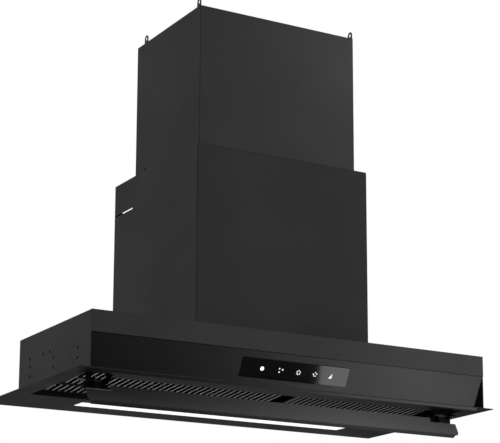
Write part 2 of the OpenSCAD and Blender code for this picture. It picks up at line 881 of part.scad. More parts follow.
// One half-round leaf of the back-draught damper, with two knuckles on the shared pin
module damper_leaf(side) {
    leaf_r = collar_r - collar_t - damper_gap;
    knuckle_out = pin_r + 1.4;
    spans = side < 0 ? [[-60, -44], [20, 36]] : [[-36, -20], [44, 60]];
    near = side < 0 ? duct_y - leaf_r : duct_y + leaf_offset;
    knuckle_y = side < 0 ? [duct_y - leaf_offset - 1, duct_y] : [duct_y, duct_y + leaf_offset + 1];
    difference() {
        union() {
            intersection() {
                bar_z(leaf_r, 0, duct_y, [damper_z - leaf_t, damper_z], $fn = 96);
                block([-leaf_r, leaf_r], [near, near + leaf_r - leaf_offset], [damper_z - 5, damper_z + 5]);
            }
            for (span = spans) {
                scaled = span * leaf_r / 72;
                bar_x(knuckle_out, scaled, duct_y, damper_z);
                block(scaled, knuckle_y, [damper_z - leaf_t, damper_z]);
            }
        }
        bar_x(pin_r, [-collar_r, collar_r], duct_y, damper_z);
    }
}

module damper_leaf_front() {
    color([0.3, 0.3, 0.32])
        damper_leaf(-1);
}

module damper_leaf_rear() {
    color([0.3, 0.3, 0.32])
        damper_leaf(1);
}

// Three-sided cover, open at the back, as a band from z[0] to z[1]
module cover(half, front, back, z) {
    difference() {
        block([-half, half], [-front, -back], z);
        block([-half + chimney_sheet, half - chimney_sheet], [-front + chimney_sheet, -back + 1],
            [z[0] - 1, z[1] + 1]);
    }
}

module lower_chimney() {
    half = lower_w / 2;
    guide_x = upper_w / 2 + gap;
    guide_y = -upper_front - gap;
    top_z = [lower_top - chimney_sheet, lower_top];
    color(black) {
        cover(half, lower_front, lower_back, [canopy_h, lower_top]);
        difference() {
            block([-half, half], [-lower_front, -lower_back], top_z);
            block([-guide_x, guide_x], [guide_y, 0], [lower_top - 5, lower_top + 1]);
        }
        difference() {
            block([-half, half], [-lower_front, -lower_back], [canopy_h, canopy_h + chimney_sheet]);
            block([-half + lip, half - lip], [-lower_front + lip, 0], [canopy_h - 1, canopy_h + 3]);
            for (x = foot_screw_x, y = foot_screw_y)
                bar_z(foot_screw_r + 0.1, x, y, [canopy_h - 1, canopy_h + 3]);
        }
    }
}

tab_t = 1.5;
tab_foot = 14;
tab_hole_r = 3.6;
tab_hole_z = upper_top + tab_h - tab_w / 2;
tab_places = [upper_front - chimney_sheet - tab_w / 2, upper_back + 37.5];

// Lock holes in the upper cover's sides, one pair above the lower cover's top and one hidden below it
lock_hole_y = -upper_back - 43.5;
lock_hole_z = [lower_top + 15, lower_top - 60];

module upper_chimney() {
    half = upper_w / 2;
    color(black)
        difference() {
            union() {
                cover(half, upper_front, upper_back, [upper_z0, upper_top]);
                for (side = [-1, 1])
                    block(side < 0 ? [-half, -half + lip] : [half - lip, half],
                        [-upper_back - chimney_sheet, -upper_back], [upper_z0, upper_top]);
            }
            for (z = lock_hole_z)
                bar_x(lock_hole_r, [-half - 1, half + 1], lock_hole_y, z);
        }
}

// Four eyelets riveted inside the upper cover's top edge
module hanging_tabs() {
    color(black)
        for (side = [-1, 1], y = tab_places) {
            inner = side * (upper_w / 2 - chimney_sheet);
            x = side < 0 ? [inner, inner + tab_t] : [inner - tab_t, inner];
            difference() {
                union() {
                    block(x, [-y - tab_w / 2, -y + tab_w / 2], [upper_top - tab_foot, tab_hole_z]);
                    bar_x(tab_w / 2, x, -y, tab_hole_z);
                }
                bar_x(tab_hole_r, [x[0] - 1, x[1] + 1], -y, tab_hole_z);
            }
        }
}

// Spring clip nuts pushed on behind the lock holes
module clip_nuts() {
    clip_half = 8;
    clip_t = 1.2;
    thread_r = lock_hole_r - 0.7;
    color([0.2, 0.2, 0.21])
        for (side = [-1, 1], z = lock_hole_z) {
            inner = side * (upper_w / 2 - chimney_sheet);
            x = side < 0 ? [inner, inner + clip_t] : [inner - clip_t, inner];
            difference() {
                block(x, [lock_hole_y - clip_half, lock_hole_y + clip_half], [z - clip_half, z + clip_half]);
                bar_x(thread_r, [x[0] - 1, x[1] + 1], lock_hole_y, z);
            }
        }
}

frame_rise = 4;
frame_top = lower_top + frame_rise;
frame_lap = 12;
frame_lip = 18;
frame_slit_y = -frame_back - 44.5;
frame_slit_z = lower_top - 61;
frame_slit = [77, 3];
frame_notch = [15, 12];
frame_band = 24;
frame_foot = 30;
cross_low = [170, 300];
hook_hole_r = 3.2;

// Open channel that stands behind the fan box and carries the chimney cover on the wall
module rear_frame() {
    front_y = -lower_back - frame_lap;
    back_y = [-frame_back - frame_sheet, -frame_back];
    color(black)
        difference() {
            union() {
                for (side = [-1, 1]) {
                    x = side < 0 ? [-frame_x, -frame_x + frame_sheet] : [frame_x - frame_sheet, frame_x];
                    foot = side < 0 ? [-frame_x, -frame_x + frame_lip] : [frame_x - frame_lip, frame_x];
                    block(x, [front_y, -frame_back], [canopy_h, frame_top]);
                    block(foot, back_y, [canopy_h, frame_top]);
                    block(foot, [-lower_back, -frame_back], [canopy_h, canopy_h + frame_sheet]);
                }
                for (z = [cross_low, [canopy_h, canopy_h + frame_foot], [frame_top - frame_band, frame_top]])
                    block([-frame_x, frame_x], back_y, z);
            }
            for (side = [-1, 1]) {
                translate([side * frame_x, frame_slit_y, frame_slit_z])
                    cube([6, frame_slit[0], frame_slit[1]], center = true);
                translate([side * frame_x, -lower_back + frame_notch[0] / 2 - 0.5, frame_top])
                    cube([6, frame_notch[0], frame_notch[1]], center = true);
            }
            block([-frame_x - 1, frame_x + 1], [front_y - 1, -lower_back],
                [lower_top - 2 * chimney_sheet, frame_top + 1]);
            block([-frame_x - 1, frame_x + 1], [front_y - 1, -lower_back],
                [canopy_h - 1, canopy_h + chimney_sheet + run_gap]);
            for (x = [-hook_x, hook_x])
                bar_y(hook_hole_r, x, [-frame_back - 5, -frame_back + 1], hook_z);
        }
}

bracket_w = 300;
bracket_h = 70;
hook_drop = 20;
hook_x = bracket_w * 0.3;
hook_z = cross_low[1] - hook_drop;
bracket_z = [cross_low[1] - 2 * hook_drop, cross_low[1] - 2 * hook_drop + bracket_h];
wall_hole_x = bracket_w * 0.4;
wall_hole_z = cross_low[1] + hook_drop / 2;
wall_hole_r = 4;

// Folded strip screwed to the wall, which the rear frame hangs on
module wall_bracket() {
    t = 2;
    span = [-bracket_w / 2, bracket_w / 2];
    color(zinc)
        difference() {
            union() {
                block(span, [-t, 0], [bracket_z[0], bracket_z[1]]);
                block(span, [-frame_back, 0], [bracket_z[0], bracket_z[0] + t]);
                block(span, [-frame_back, -frame_back + t], [bracket_z[0], cross_low[1] - 6]);
            }
            for (x = [-wall_hole_x, wall_hole_x])
                bar_y(wall_hole_r, x, [-t - 1, 1], wall_hole_z);
            for (x = [-hook_x, hook_x])
                bar_y(hook_hole_r - 1.2, x, [-frame_back - 1, -frame_back + t + 1], hook_z);
        }
}

ebox_w = 140;
ebox_d = 100;
ebox_h = 40;
ebox_side = 62;
ebox_rear = 30;
ebox_x = [air_x + ebox_side, air_x + ebox_side + ebox_w];
ebox_y = [canopy_back - ebox_rear - ebox_d, canopy_back - ebox_rear];
ebox_z = [canopy_h - sheet - ebox_h, canopy_h - sheet];
ebox_wall = 2;
ebox_in_x = [ebox_x[0] + ebox_wall, ebox_x[1] - ebox_wall];
ebox_in_y = [ebox_y[0] + ebox_wall, ebox_y[1] - ebox_wall];
ebox_cable_z = ebox_z[1] - ebox_h * 0.3;

module electronics_box() {
    color([0.16, 0.16, 0.17])
        difference() {
            block(ebox_x, ebox_y, ebox_z);
            block(ebox_in_x, ebox_in_y, [ebox_z[0] - 1, ebox_z[1] - ebox_wall]);
            bar_y(gland_r * 0.6, gland_x, [ebox_y[1] - 2 * ebox_wall, ebox_y[1] + 1], ebox_cable_z);
        }
}

module electronics_lid() {
    lid_t = 2;
    color([0.16, 0.16, 0.17])
        difference() {
            block(ebox_x, ebox_y, [ebox_z[0] - lid_t, ebox_z[0]]);
            for (i = [-3 : 3])
                translate([(ebox_x[0] + ebox_x[1]) / 2 + i * ebox_w * 0.086, (ebox_y[0] + ebox_y[1]) / 2,
                    ebox_z[0] - lid_t / 2])
                    cube([ebox_w * 0.03, ebox_d / 2, lid_t * 3], center = true);
        }
}

// Corner of a part on the power board, as shares of the box's inside
function board_x(share) = ebox_x[0] + ebox_w * share;
function board_y(share) = ebox_y[0] + ebox_d * share;

module power_board() {
    wall = ebox_wall + gap;
    base = ebox_z[1] - ebox_wall - ebox_h / 8;
    board = base - board_t;
    relay_low = base - ebox_h * 0.42;
    coil_low = base - ebox_h * 0.65;
    color([0.05, 0.25, 0.12]) {
        block([ebox_x[0] + wall, ebox_x[1] - wall], [ebox_y[0] + wall, ebox_y[1] - wall], [board, base]);
        for (x = [0.1, 0.27])
            block([board_x(x), board_x(x + 0.13)], [board_y(0.2), board_y(0.36)], [relay_low, base - 1]);
        block([board_x(0.53), board_x(0.8)], [board_y(0.24), board_y(0.58)], [coil_low, base - 1]);
        bar_z(ebox_d * 0.06, board_x(0.21), board_y(0.68), [base - ebox_h / 2, base - 1]);
        for (x = [0.03, 0.8])
            block([board_x(x), board_x(x + 0.03)], [board_y(0.08), board_y(0.14)],
                [base - 1, ebox_z[1] - ebox_wall]);
    }
}

gland_x = ebox_x[0] + ebox_w * 0.214;
gland_z = canopy_h - 34;
gland_r = 8;

module cable_gland() {
    color([0.1, 0.1, 0.1])
        difference() {
            union() {
                bar_y(gland_r, gland_x, [canopy_back - sheet - 8, canopy_back + 14], gland_z);
                translate([gland_x, canopy_back + 6, gland_z])
                    rotate([90, 0, 0])
                        cylinder(r = gland_r + 4, h = 6, $fn = 6);
                translate([gland_x, canopy_back - sheet, gland_z])
                    rotate([90, 0, 0])
                        cylinder(r = gland_r + 4, h = 5, $fn = 6);
            }
            bar_y(4, gland_x, [canopy_back - 20, canopy_back + 20], gland_z);
        }
}

// Pan-head screw standing on a face, its thread below it
module pan_screw(r, long) {
    translate([0, 0, -long])
        cylinder(r = r, h = long + 0.5);
    cylinder(r = r * 1.9, h = 1.4);
}

// Places of the screws through the lower cover's foot
foot_screw_r = 2;
foot_screw_in = 7;
foot_screw_x = [-lower_w / 2 + foot_screw_in, lower_w / 2 - foot_screw_in];
foot_screw_y = [-lower_front + 40, -lower_back - 30];

module flange_screws() {
    top = flange_t + sheet;
    color([0.1, 0.1, 0.1])
        for (side = [-1, 1], y = [pivot_y + 30, canopy_back - 40])
            translate([side * (half_w - lip / 2 - sheet / 2), y, top])
                cylinder(r = 3.6, h = 1.8);
}

module chimney_screws() {
    color([0.1, 0.1, 0.1])
        for (x = foot_screw_x, y = foot_screw_y)
            translate([x, y, canopy_h + chimney_sheet])
                pan_screw(foot_screw_r, chimney_sheet);
}

bottom_flange();
canopy_shell();
front_rail();
control_fascia();
control_glass();
control_carrier();
touch_board();
light_tray();
led_diffuser();
led_board();
filter_rail_front();
filter_rail_rear();
filter_divider();
filter_left();
filter_right();
filter_latch_left();
filter_latch_right();
deflector_flap();
flap_bracket_left();
flap_bracket_right();
flap_pins();
fan_box();
scroll_housing();
inlet_ring();
fan_wheel();
rotor_shaft();
wheel_nut();
motor();
motor_bearings();
motor_grommets();
motor_screws();
capacitor();
capacitor_clip();
outlet_collar();
damper_pin();
damper_leaf_front();
damper_leaf_rear();
lower_chimney();
upper_chimney();
hanging_tabs();
clip_nuts();
rear_frame();
wall_bracket();
electronics_box();
electronics_lid();
power_board();
cable_gland();
flange_screws();
chimney_screws();
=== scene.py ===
# %% [markdown]
# This lesson dresses a black kitchen hood whose solids were made in CAD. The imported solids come
# in first as a fixed frame: nothing below moves them. A solid is either kept with a better
# finish, or a finer piece made here stands for it.

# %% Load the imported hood
import json
import math

import bmesh
import bpy
from mathutils import Matrix, Vector

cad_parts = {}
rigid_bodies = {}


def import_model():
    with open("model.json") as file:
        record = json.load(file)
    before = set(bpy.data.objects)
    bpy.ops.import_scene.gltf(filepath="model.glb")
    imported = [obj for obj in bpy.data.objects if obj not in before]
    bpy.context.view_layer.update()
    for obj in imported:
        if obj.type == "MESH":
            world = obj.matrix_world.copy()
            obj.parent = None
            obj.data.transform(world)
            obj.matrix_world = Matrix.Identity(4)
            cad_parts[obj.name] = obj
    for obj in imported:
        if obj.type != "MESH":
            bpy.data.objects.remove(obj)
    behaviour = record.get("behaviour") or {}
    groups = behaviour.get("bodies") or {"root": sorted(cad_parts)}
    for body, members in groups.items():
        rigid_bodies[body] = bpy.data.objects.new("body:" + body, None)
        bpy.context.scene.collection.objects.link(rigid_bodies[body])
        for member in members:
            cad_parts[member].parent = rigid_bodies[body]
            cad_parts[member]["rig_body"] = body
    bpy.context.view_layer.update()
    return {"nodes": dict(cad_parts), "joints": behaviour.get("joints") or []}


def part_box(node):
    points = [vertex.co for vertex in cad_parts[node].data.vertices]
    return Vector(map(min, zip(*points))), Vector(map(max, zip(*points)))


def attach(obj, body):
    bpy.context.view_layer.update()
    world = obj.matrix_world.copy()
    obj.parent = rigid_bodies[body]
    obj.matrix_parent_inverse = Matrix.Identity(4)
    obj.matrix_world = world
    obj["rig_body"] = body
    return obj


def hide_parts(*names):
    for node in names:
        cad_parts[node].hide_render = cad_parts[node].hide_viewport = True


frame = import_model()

nodes = frame["nodes"]
joints = {joint["name"]: joint for joint in frame["joints"]}
scene = bpy.context.scene
MM = 0.001
print("solids:", len(nodes), "joints:", len(joints))

# %% [markdown]
# The photograph looks up at the hood from its front left. Its long lens was worked out from the
# straight edges of the hood, and the small lens shift stands for the way the picture was cropped.

# %% Camera at the photograph's place
IMAGE_W, IMAGE_H = 500, 443
FOCAL_PX = 1783.0
PRINCIPAL_PX = (277.1, 288.0)
CAMERA_AT = Vector((-1.7103, -3.2382, -0.5862))
CAMERA_YAW, CAMERA_PITCH = math.radians(30.756), math.radians(13.404)
SENSOR_MM = 36.0

camera_data = bpy.data.cameras.new("photo_camera")
camera_data.sensor_width = SENSOR_MM
camera_data.lens = FOCAL_PX / IMAGE_W * SENSOR_MM
camera_data.shift_x = (IMAGE_W / 2 - PRINCIPAL_PX[0]) / IMAGE_W
camera_data.shift_y = (PRINCIPAL_PX[1] - IMAGE_H / 2) / IMAGE_W
camera_data.clip_end = 60
camera = bpy.data.objects.new("photo_camera", camera_data)
camera.location = CAMERA_AT
camera.rotation_euler = (math.pi / 2 + CAMERA_PITCH, 0, -CAMERA_YAW)
scene.collection.objects.link(camera)
scene.camera = camera
scene.view_settings.view_transform = "Standard"
print("lens", round(camera_data.lens, 1), "mm")

# %% [markdown]
# Materials are easier to read when all are written from the same few bricks: a shader, a noise
# that follows the object's own coordinates, a range that turns noise into a roughness, and a
# bump.

# %% Bricks for the finishes
def new_finish(name, base, roughness, metallic=0.0, specular=0.5):
    """A Principled material with its constant values set straight on the shader."""
    material = bpy.data.materials.new(name)
    material.use_nodes = True
    shader = material.node_tree.nodes["Principled BSDF"]
    shader.inputs["Base Color"].default_value = (*base, 1.0)
    shader.inputs["Roughness"].default_value = roughness
    shader.inputs["Metallic"].default_value = metallic
    shader.inputs["Specular IOR Level"].default_value = specular
    material.diffuse_color = (*base, 1.0)
    return material, material.node_tree, shader


def feed(tree, value, socket):
    """Links another node's socket into a socket, or sets a plain number on it."""
    if isinstance(value, bpy.types.NodeSocket):
        tree.links.new(value, socket)
    else:
        socket.default_value = value


def reckon(tree, operation, first, second=0.0):
    """One math node over two values, each a socket or a number."""
    node = tree.nodes.new("ShaderNodeMath")
    node.operation = operation
    feed(tree, first, node.inputs[0])
    feed(tree, second, node.inputs[1])
    return node.outputs["Value"]


def place_coords(tree, stretch=(1, 1, 1)):
    """Object coordinates, stretched where a grain runs one way."""
    coords = tree.nodes.new("ShaderNodeTexCoord")
    mapping = tree.nodes.new("ShaderNodeMapping")
    mapping.inputs["Scale"].default_value = stretch
    tree.links.new(coords.outputs["Object"], mapping.inputs["Vector"])
    return mapping.outputs["Vector"]


def noise(tree, coords, scale, detail=2.0):
    """Noise of so many waves per metre."""
    texture = tree.nodes.new("ShaderNodeTexNoise")
    texture.inputs["Scale"].default_value = scale
    texture.inputs["Detail"].default_value = detail
    tree.links.new(coords, texture.inputs["Vector"])
    return texture.outputs["Fac"]


def spread(tree, value, low, high, start=0.3, end=0.7):
    """Maps a noise onto the range of a real quantity."""
    ranged = tree.nodes.new("ShaderNodeMapRange")
    ranged.inputs["From Min"].default_value = start
    ranged.inputs["From Max"].default_value = end
    ranged.inputs["To Min"].default_value = low
    ranged.inputs["To Max"].default_value = high
    tree.links.new(value, ranged.inputs["Value"])
    return ranged.outputs["Result"]


def two_tone(tree, value, dark, light, start=0.35, end=0.65):
    """Blends two colours by a noise."""
    ramp = tree.nodes.new("ShaderNodeValToRGB")
    ramp.color_ramp.elements[0].position = start
    ramp.color_ramp.elements[0].color = (*dark, 1)
    ramp.color_ramp.elements[1].position = end
    ramp.color_ramp.elements[1].color = (*light, 1)
    tree.links.new(value, ramp.inputs["Fac"])
    return ramp.outputs["Color"]


def bump(tree, shader, height, strength, depth):
    """Raises the surface by up to depth metres."""
    node = tree.nodes.new("ShaderNodeBump")
    node.inputs["Strength"].default_value = strength
    node.inputs["Distance"].default_value = depth
    tree.links.new(height, node.inputs["Height"])
    tree.links.new(node.outputs["Normal"], shader.inputs["Normal"])


print("finish bricks ready")

# %% [markdown]
# Most of the hood is sheet steel with a satin black powder coat. Powder coat is never quite even:
# it has a fine orange peel, its gloss drifts over a hand's breadth, and a little dust lies in it.
# The slanted panel is sprayed smoother than the chimney.

# %% Powder coats
DRIFT_WAVES, SPECKLE_WAVES, PEEL_WAVES = 7.0, 900.0, 650.0
GLOSS_DRIFT = 0.035
PEEL_DEPTH = 0.12 * MM


def powder_coat(name, tone, rough, peel, specular):
    """Black powder coat of a given darkness, gloss and orange peel."""
    base = (tone, tone, tone * 1.03)
    material, tree, shader = new_finish(name, base, rough, specular=specular)
    coords = place_coords(tree)
    drift = noise(tree, coords, DRIFT_WAVES, 4.0)
    speckle = noise(tree, coords, SPECKLE_WAVES)
    gloss = spread(tree, drift, rough - GLOSS_DRIFT, rough + GLOSS_DRIFT)
    tree.links.new(gloss, shader.inputs["Roughness"])
    colour = two_tone(tree, speckle, [c * 0.8 for c in base], [c * 1.25 for c in base])
    tree.links.new(colour, shader.inputs["Base Color"])
    bump(tree, shader, noise(tree, coords, PEEL_WAVES, 1.0), peel, PEEL_DEPTH)
    return material


chimney_coat = powder_coat("satin_black_chimney", 0.016, 0.46, 0.10, 0.5)
panel_coat = powder_coat("satin_black_panel", 0.015, 0.38, 0.08, 0.5)
flange_coat = powder_coat("satin_black_flange", 0.016, 0.44, 0.10, 0.5)
grille_coat = powder_coat("satin_black_filter", 0.005, 0.55, 0.12, 0.15)
# Painted light: the bars' coat is far lighter than the filter tray's, so their crowns look lit.
bar_painted_light_coat = powder_coat("satin_black_bars_painted_light", 0.17, 0.38, 0.12, 0.6)
baffle_coat = powder_coat("matt_black_baffles", 0.002, 0.8, 0.1, 0.05)
inner_coat = powder_coat("black_inside", 0.006, 0.6, 0.2, 0.3)


def along(tree, axis, shift=0.0, both=False):
    """One object coordinate, shifted, and folded over where both sides count."""
    split = tree.nodes.new("ShaderNodeSeparateXYZ")
    tree.links.new(place_coords(tree), split.inputs["Vector"])
    shifted = reckon(tree, "ADD", split.outputs[axis], shift)
    return reckon(tree, "ABSOLUTE", shifted) if both else shifted


def tint(tree, shader, mask, colour):
    """Lays a colour over the base colour where the mask is one."""
    layer = tree.nodes.new("ShaderNodeMix")
    layer.data_type = "RGBA"
    under, over = [socket for socket in layer.inputs if socket.type == "RGBA"]
    mixed = [socket for socket in layer.outputs if socket.type == "RGBA"][0]
    tree.links.new(mask, layer.inputs["Factor"])
    tree.links.new(shader.inputs["Base Color"].links[0].from_socket, under)
    over.default_value = (*colour, 1)
    tree.links.new(mixed, shader.inputs["Base Color"])


NOTCH_SHIFT, NOTCH_REACH = 0.008, 0.3503
NOTCH_FOOT, NOTCH_EDGE = -0.0243, -0.0262


def strip_finish():
    """The strip's coat, lighter than the other black coats as painted light, with painted shade on
    each tongue in its end notches and a painted highlight on the edge under the left one.
    """
    # Painted light: the base tone is lighter than the other black coats so that the strip looks
    # lit.
    material = powder_coat("satin_black_strip_painted_light", 0.058, 0.50, 0.10, 0.5)
    tree, shader = material.node_tree, material.node_tree.nodes["Principled BSDF"]
    at_ends = reckon(tree, "GREATER_THAN", along(tree, "X", NOTCH_SHIFT, both=True), NOTCH_REACH)
    at_left = reckon(tree, "LESS_THAN", along(tree, "X", NOTCH_SHIFT), -NOTCH_REACH)
    over_edge, over_foot = [reckon(tree, "GREATER_THAN", along(tree, "Z"), level)
                            for level in (NOTCH_EDGE, NOTCH_FOOT)]
    # Painted highlight: a light band on the fold edge under the left notch.
    painted_highlight_mask = reckon(tree, "MULTIPLY", at_left, over_edge)
    # Painted shade: each tongue in the end notches is made near black.
    notch_painted_shade = reckon(tree, "MULTIPLY", at_ends, over_foot)
    tint(tree, shader, painted_highlight_mask, (0.3, 0.3, 0.31))
    tint(tree, shader, notch_painted_shade, (0.004, 0.004, 0.004))
    return material


strip_coat = strip_finish()
print("coats:", ", ".join(m.name for m in bpy.data.materials if "satin" in m.name))

# %% [markdown]
# The inner parts are bare. Galvanised sheet shows crystals the size of a fingernail, called
# spangle, which a cell pattern gives. Turned or drawn metal has a fine grain along one way, which
# is a noise squeezed across that way.

# %% Bare metals
SPANGLE_WAVES = 85.0
GRAIN_DEPTH = 0.1 * MM


def galvanised():
    """Zinc-coated sheet with its spangle."""
    material, tree, shader = new_finish("galvanised_sheet", (0.5, 0.52, 0.54), 0.38, metallic=0.9)
    coords = place_coords(tree)
    cells = tree.nodes.new("ShaderNodeTexVoronoi")
    cells.inputs["Scale"].default_value = SPANGLE_WAVES
    tree.links.new(coords, cells.inputs["Vector"])
    grey = tree.nodes.new("ShaderNodeSeparateColor")
    tree.links.new(cells.outputs["Color"], grey.inputs["Color"])
    tone = two_tone(tree, grey.outputs["Red"], (0.40, 0.42, 0.44), (0.60, 0.62, 0.64), 0.0, 1.0)
    tree.links.new(tone, shader.inputs["Base Color"])
    gloss = spread(tree, grey.outputs["Green"], 0.30, 0.48, 0.0, 1.0)
    tree.links.new(gloss, shader.inputs["Roughness"])
    bump(tree, shader, noise(tree, coords, 400.0), 0.1, GRAIN_DEPTH)
    return material


def grained_metal(name, base, rough, stretch, metallic=1.0):
    """Metal with a fine grain that runs along the least stretched axis."""
    material, tree, shader = new_finish(name, base, rough, metallic=metallic)
    coords = place_coords(tree, stretch)
    grain = noise(tree, coords, 60.0, 6.0)
    tree.links.new(spread(tree, grain, rough * 0.75, rough * 1.3), shader.inputs["Roughness"])
    dark, light = [c * 0.85 for c in base], [min(1.0, c * 1.1) for c in base]
    tree.links.new(two_tone(tree, grain, dark, light), shader.inputs["Base Color"])
    bump(tree, shader, grain, 0.08, GRAIN_DEPTH)
    return material


zinc = galvanised()
bright_steel = grained_metal("bright_steel", (0.72, 0.73, 0.75), 0.18, (1, 8, 8))
can_metal = grained_metal("drawn_aluminium_can", (0.78, 0.79, 0.81), 0.3, (12, 12, 1))
motor_metal = grained_metal("motor_casing", (0.33, 0.34, 0.36), 0.45, (6, 1, 6), 0.8)
PIN_BRIGHT_TO = -0.4030


def pin_finish():
    """Hinge pins: bright steel at the left end, the rest painted dark and dull as shade."""
    material = grained_metal("hinge_pin_steel", (0.72, 0.73, 0.75), 0.25, (1, 8, 8))
    tree, shader = material.node_tree, material.node_tree.nodes["Principled BSDF"]
    # Painted shade: right of the left end the pins are made dark and dull.
    inside = reckon(tree, "GREATER_THAN", along(tree, "X"), PIN_BRIGHT_TO)
    tint(tree, shader, inside, (0.012, 0.012, 0.012))
    tree.links.new(spread(tree, inside, 1.0, 0.2, 0.0, 1.0), shader.inputs["Metallic"])
    return material


pin_steel = pin_finish()
print("metals:", zinc.name, bright_steel.name, can_metal.name, motor_metal.name)

# %% [markdown]
# Moulded plastic has a fine even grain from its tool. Rubber is duller still. The touch panel is
# glass, black behind, so its base colour is nearly nothing and its clear face does the work. The
# light's cover is milky: it glows, a little brighter over each of the small lamps behind it.

# %% Plastics, glass and light
def moulded(name, base, rough, grain=0.25, specular=0.4):
    """Plastic or rubber with a tool grain."""
    material, tree, shader = new_finish(name, base, rough, specular=specular)
    coords = place_coords(tree)
    fine = noise(tree, coords, 1500.0, 2.0)
    tree.links.new(spread(tree, noise(tree, coords, 40.0), rough - 0.06, rough + 0.06),
                   shader.inputs["Roughness"])
    tree.links.new(two_tone(tree, fine, [c * 0.8 for c in base], [c * 1.2 for c in base]),
                   shader.inputs["Base Color"])
    bump(tree, shader, fine, grain, GRAIN_DEPTH)
    return material


def circuit_board(name, mask, copper):
    """Lacquered board with faint tracks under the lacquer."""
    material, tree, shader = new_finish(name, mask, 0.25)
    coords = place_coords(tree)
    tracks = tree.nodes.new("ShaderNodeTexBrick")
    tracks.inputs["Scale"].default_value = 60.0
    tracks.inputs["Mortar Size"].default_value = 0.08
    tracks.inputs["Color1"].default_value = (*mask, 1)
    tracks.inputs["Color2"].default_value = (*[c * 0.85 for c in mask], 1)
    tracks.inputs["Mortar"].default_value = (*copper, 1)
    tree.links.new(coords, tracks.inputs["Vector"])
    tree.links.new(tracks.outputs["Color"], shader.inputs["Base Color"])
    tree.links.new(spread(tree, noise(tree, coords, 120.0), 0.2, 0.32), shader.inputs["Roughness"])
    return material


def touch_glass():
    """Black backed glass with faint wipe marks in its gloss."""
    material, tree, shader = new_finish("touch_glass", (0.010, 0.010, 0.011), 0.05, specular=0.5)
    coords = place_coords(tree)
    wipe = noise(tree, coords, 25.0, 3.0)
    tree.links.new(spread(tree, wipe, 0.035, 0.075), shader.inputs["Roughness"])
    tree.links.new(two_tone(tree, wipe, (0.009, 0.009, 0.010), (0.011, 0.011, 0.012)),
                   shader.inputs["Base Color"])
    return material


LAMP_STEP = 0.020


def milky_cover(glow):
    """Glowing cover, a little brighter over each lamp."""
    material, tree, shader = new_finish("milky_light_cover", (0.9, 0.91, 0.92), 0.45)
    coords = place_coords(tree)
    waves = tree.nodes.new("ShaderNodeTexWave")
    waves.bands_direction = "X"
    waves.inputs["Scale"].default_value = math.pi / (10 * LAMP_STEP)
    tree.links.new(coords, waves.inputs["Vector"])
    shader.inputs["Emission Color"].default_value = (1.0, 1.0, 1.0, 1.0)
    tree.links.new(spread(tree, waves.outputs["Fac"], glow * 0.9, glow, 0.0, 1.0),
                   shader.inputs["Emission Strength"])
    tree.links.new(spread(tree, noise(tree, coords, 300.0), 0.4, 0.5), shader.inputs["Roughness"])
    return material


def sign_white():
    """White print lit softly from behind."""
    material, tree, shader = new_finish("touch_sign_white", (0.8, 0.81, 0.82), 0.5)
    coords = place_coords(tree)
    shader.inputs["Emission Color"].default_value = (0.93, 0.96, 1.0, 1.0)
    glow = spread(tree, noise(tree, coords, 500.0), 0.75, 0.95)
    tree.links.new(glow, shader.inputs["Emission Strength"])
    return material


black_plastic = moulded("black_moulded_plastic", (0.016, 0.016, 0.018), 0.5)
damper_plastic = moulded("grey_black_plastic", (0.035, 0.035, 0.038), 0.45)
soft_rubber = moulded("soft_rubber", (0.012, 0.012, 0.012), 0.8, 0.4, 0.25)
green_board = circuit_board("green_board", (0.015, 0.09, 0.035), (0.05, 0.17, 0.07))
white_board = circuit_board("white_board", (0.75, 0.75, 0.72), (0.6, 0.6, 0.57))
glass = touch_glass()
milky = milky_cover(1.05)
sign_print = sign_white()
print("materials in all:", len(bpy.data.materials))

# %% [markdown]
# Folded sheet steel has round folds and crisp cut edges. A CAD solid has neither: all its edges
# are knife sharp, and a knife edge never catches the light. So a copy of the solid is welded, its
# flat faces are joined, and each edge gets a bevel by its kind: a fold between two broad faces
# gets the bend radius, and an edge next to a narrow cut face gets a burr's width.

# %% Folded sheet from a solid
NARROW = 2.4 * MM
WELD, FINE_WELD = 0.002 * MM, 0.001 * MM
FLAT_WITHIN, SHARP_FROM = math.radians(1.5), math.radians(25)
SQUARE_ON = 0.99999


def merged_copy(node, name, join):
    """A copy of a solid's mesh, its triangles welded and, where asked, joined into flat faces."""
    mesh = nodes[node].data.copy()
    mesh.name = name
    mesh.materials.clear()
    copy = bpy.data.objects.new(name, mesh)
    scene.collection.objects.link(copy)
    form = bmesh.new()
    form.from_mesh(mesh)
    bmesh.ops.remove_doubles(form, verts=form.verts, dist=WELD)
    if join:
        bmesh.ops.dissolve_limit(form, angle_limit=FLAT_WITHIN, verts=form.verts, edges=form.edges)
    return form, copy


def face_width(face):
    """Width of a long face, near enough."""
    return 2 * face.calc_area() / max(face.calc_perimeter(), 1e-9)


def weigh_edges(form, fold, nick):
    """Gives each sharp edge its bevel, as a share of the fold radius."""
    layer = form.edges.layers.float.new("bevel_weight_edge")
    folds = 0
    for edge in form.edges:
        if len(edge.link_faces) != 2 or edge.calc_face_angle(0) < SHARP_FROM:
            continue
        broad = min(face_width(face) for face in edge.link_faces) > NARROW
        if broad and edge.is_convex and edge.calc_length() > 4 * fold:
            edge[layer] = 1.0
            folds += 1
        elif edge.is_convex:
            edge[layer] = nick / fold
    return folds


def plain_mesh(piece):
    """Turns an object with modifiers into a plain mesh in place."""
    graph = bpy.context.evaluated_depsgraph_get()
    mesh = bpy.data.meshes.new_from_object(piece.evaluated_get(graph), depsgraph=graph)
    mesh.name = piece.name
    piece.modifiers.clear()
    piece.data = mesh
    return piece


def crisp_shading(piece, angle=35):
    """Smooth over the bevels, with the broad faces kept flat."""
    piece.data.shade_smooth()
    piece.data.set_sharp_from_angle(angle=math.radians(angle))
    weighted = piece.modifiers.new("flat_faces", "WEIGHTED_NORMAL")
    weighted.keep_sharp = True
    weighted.weight = 80


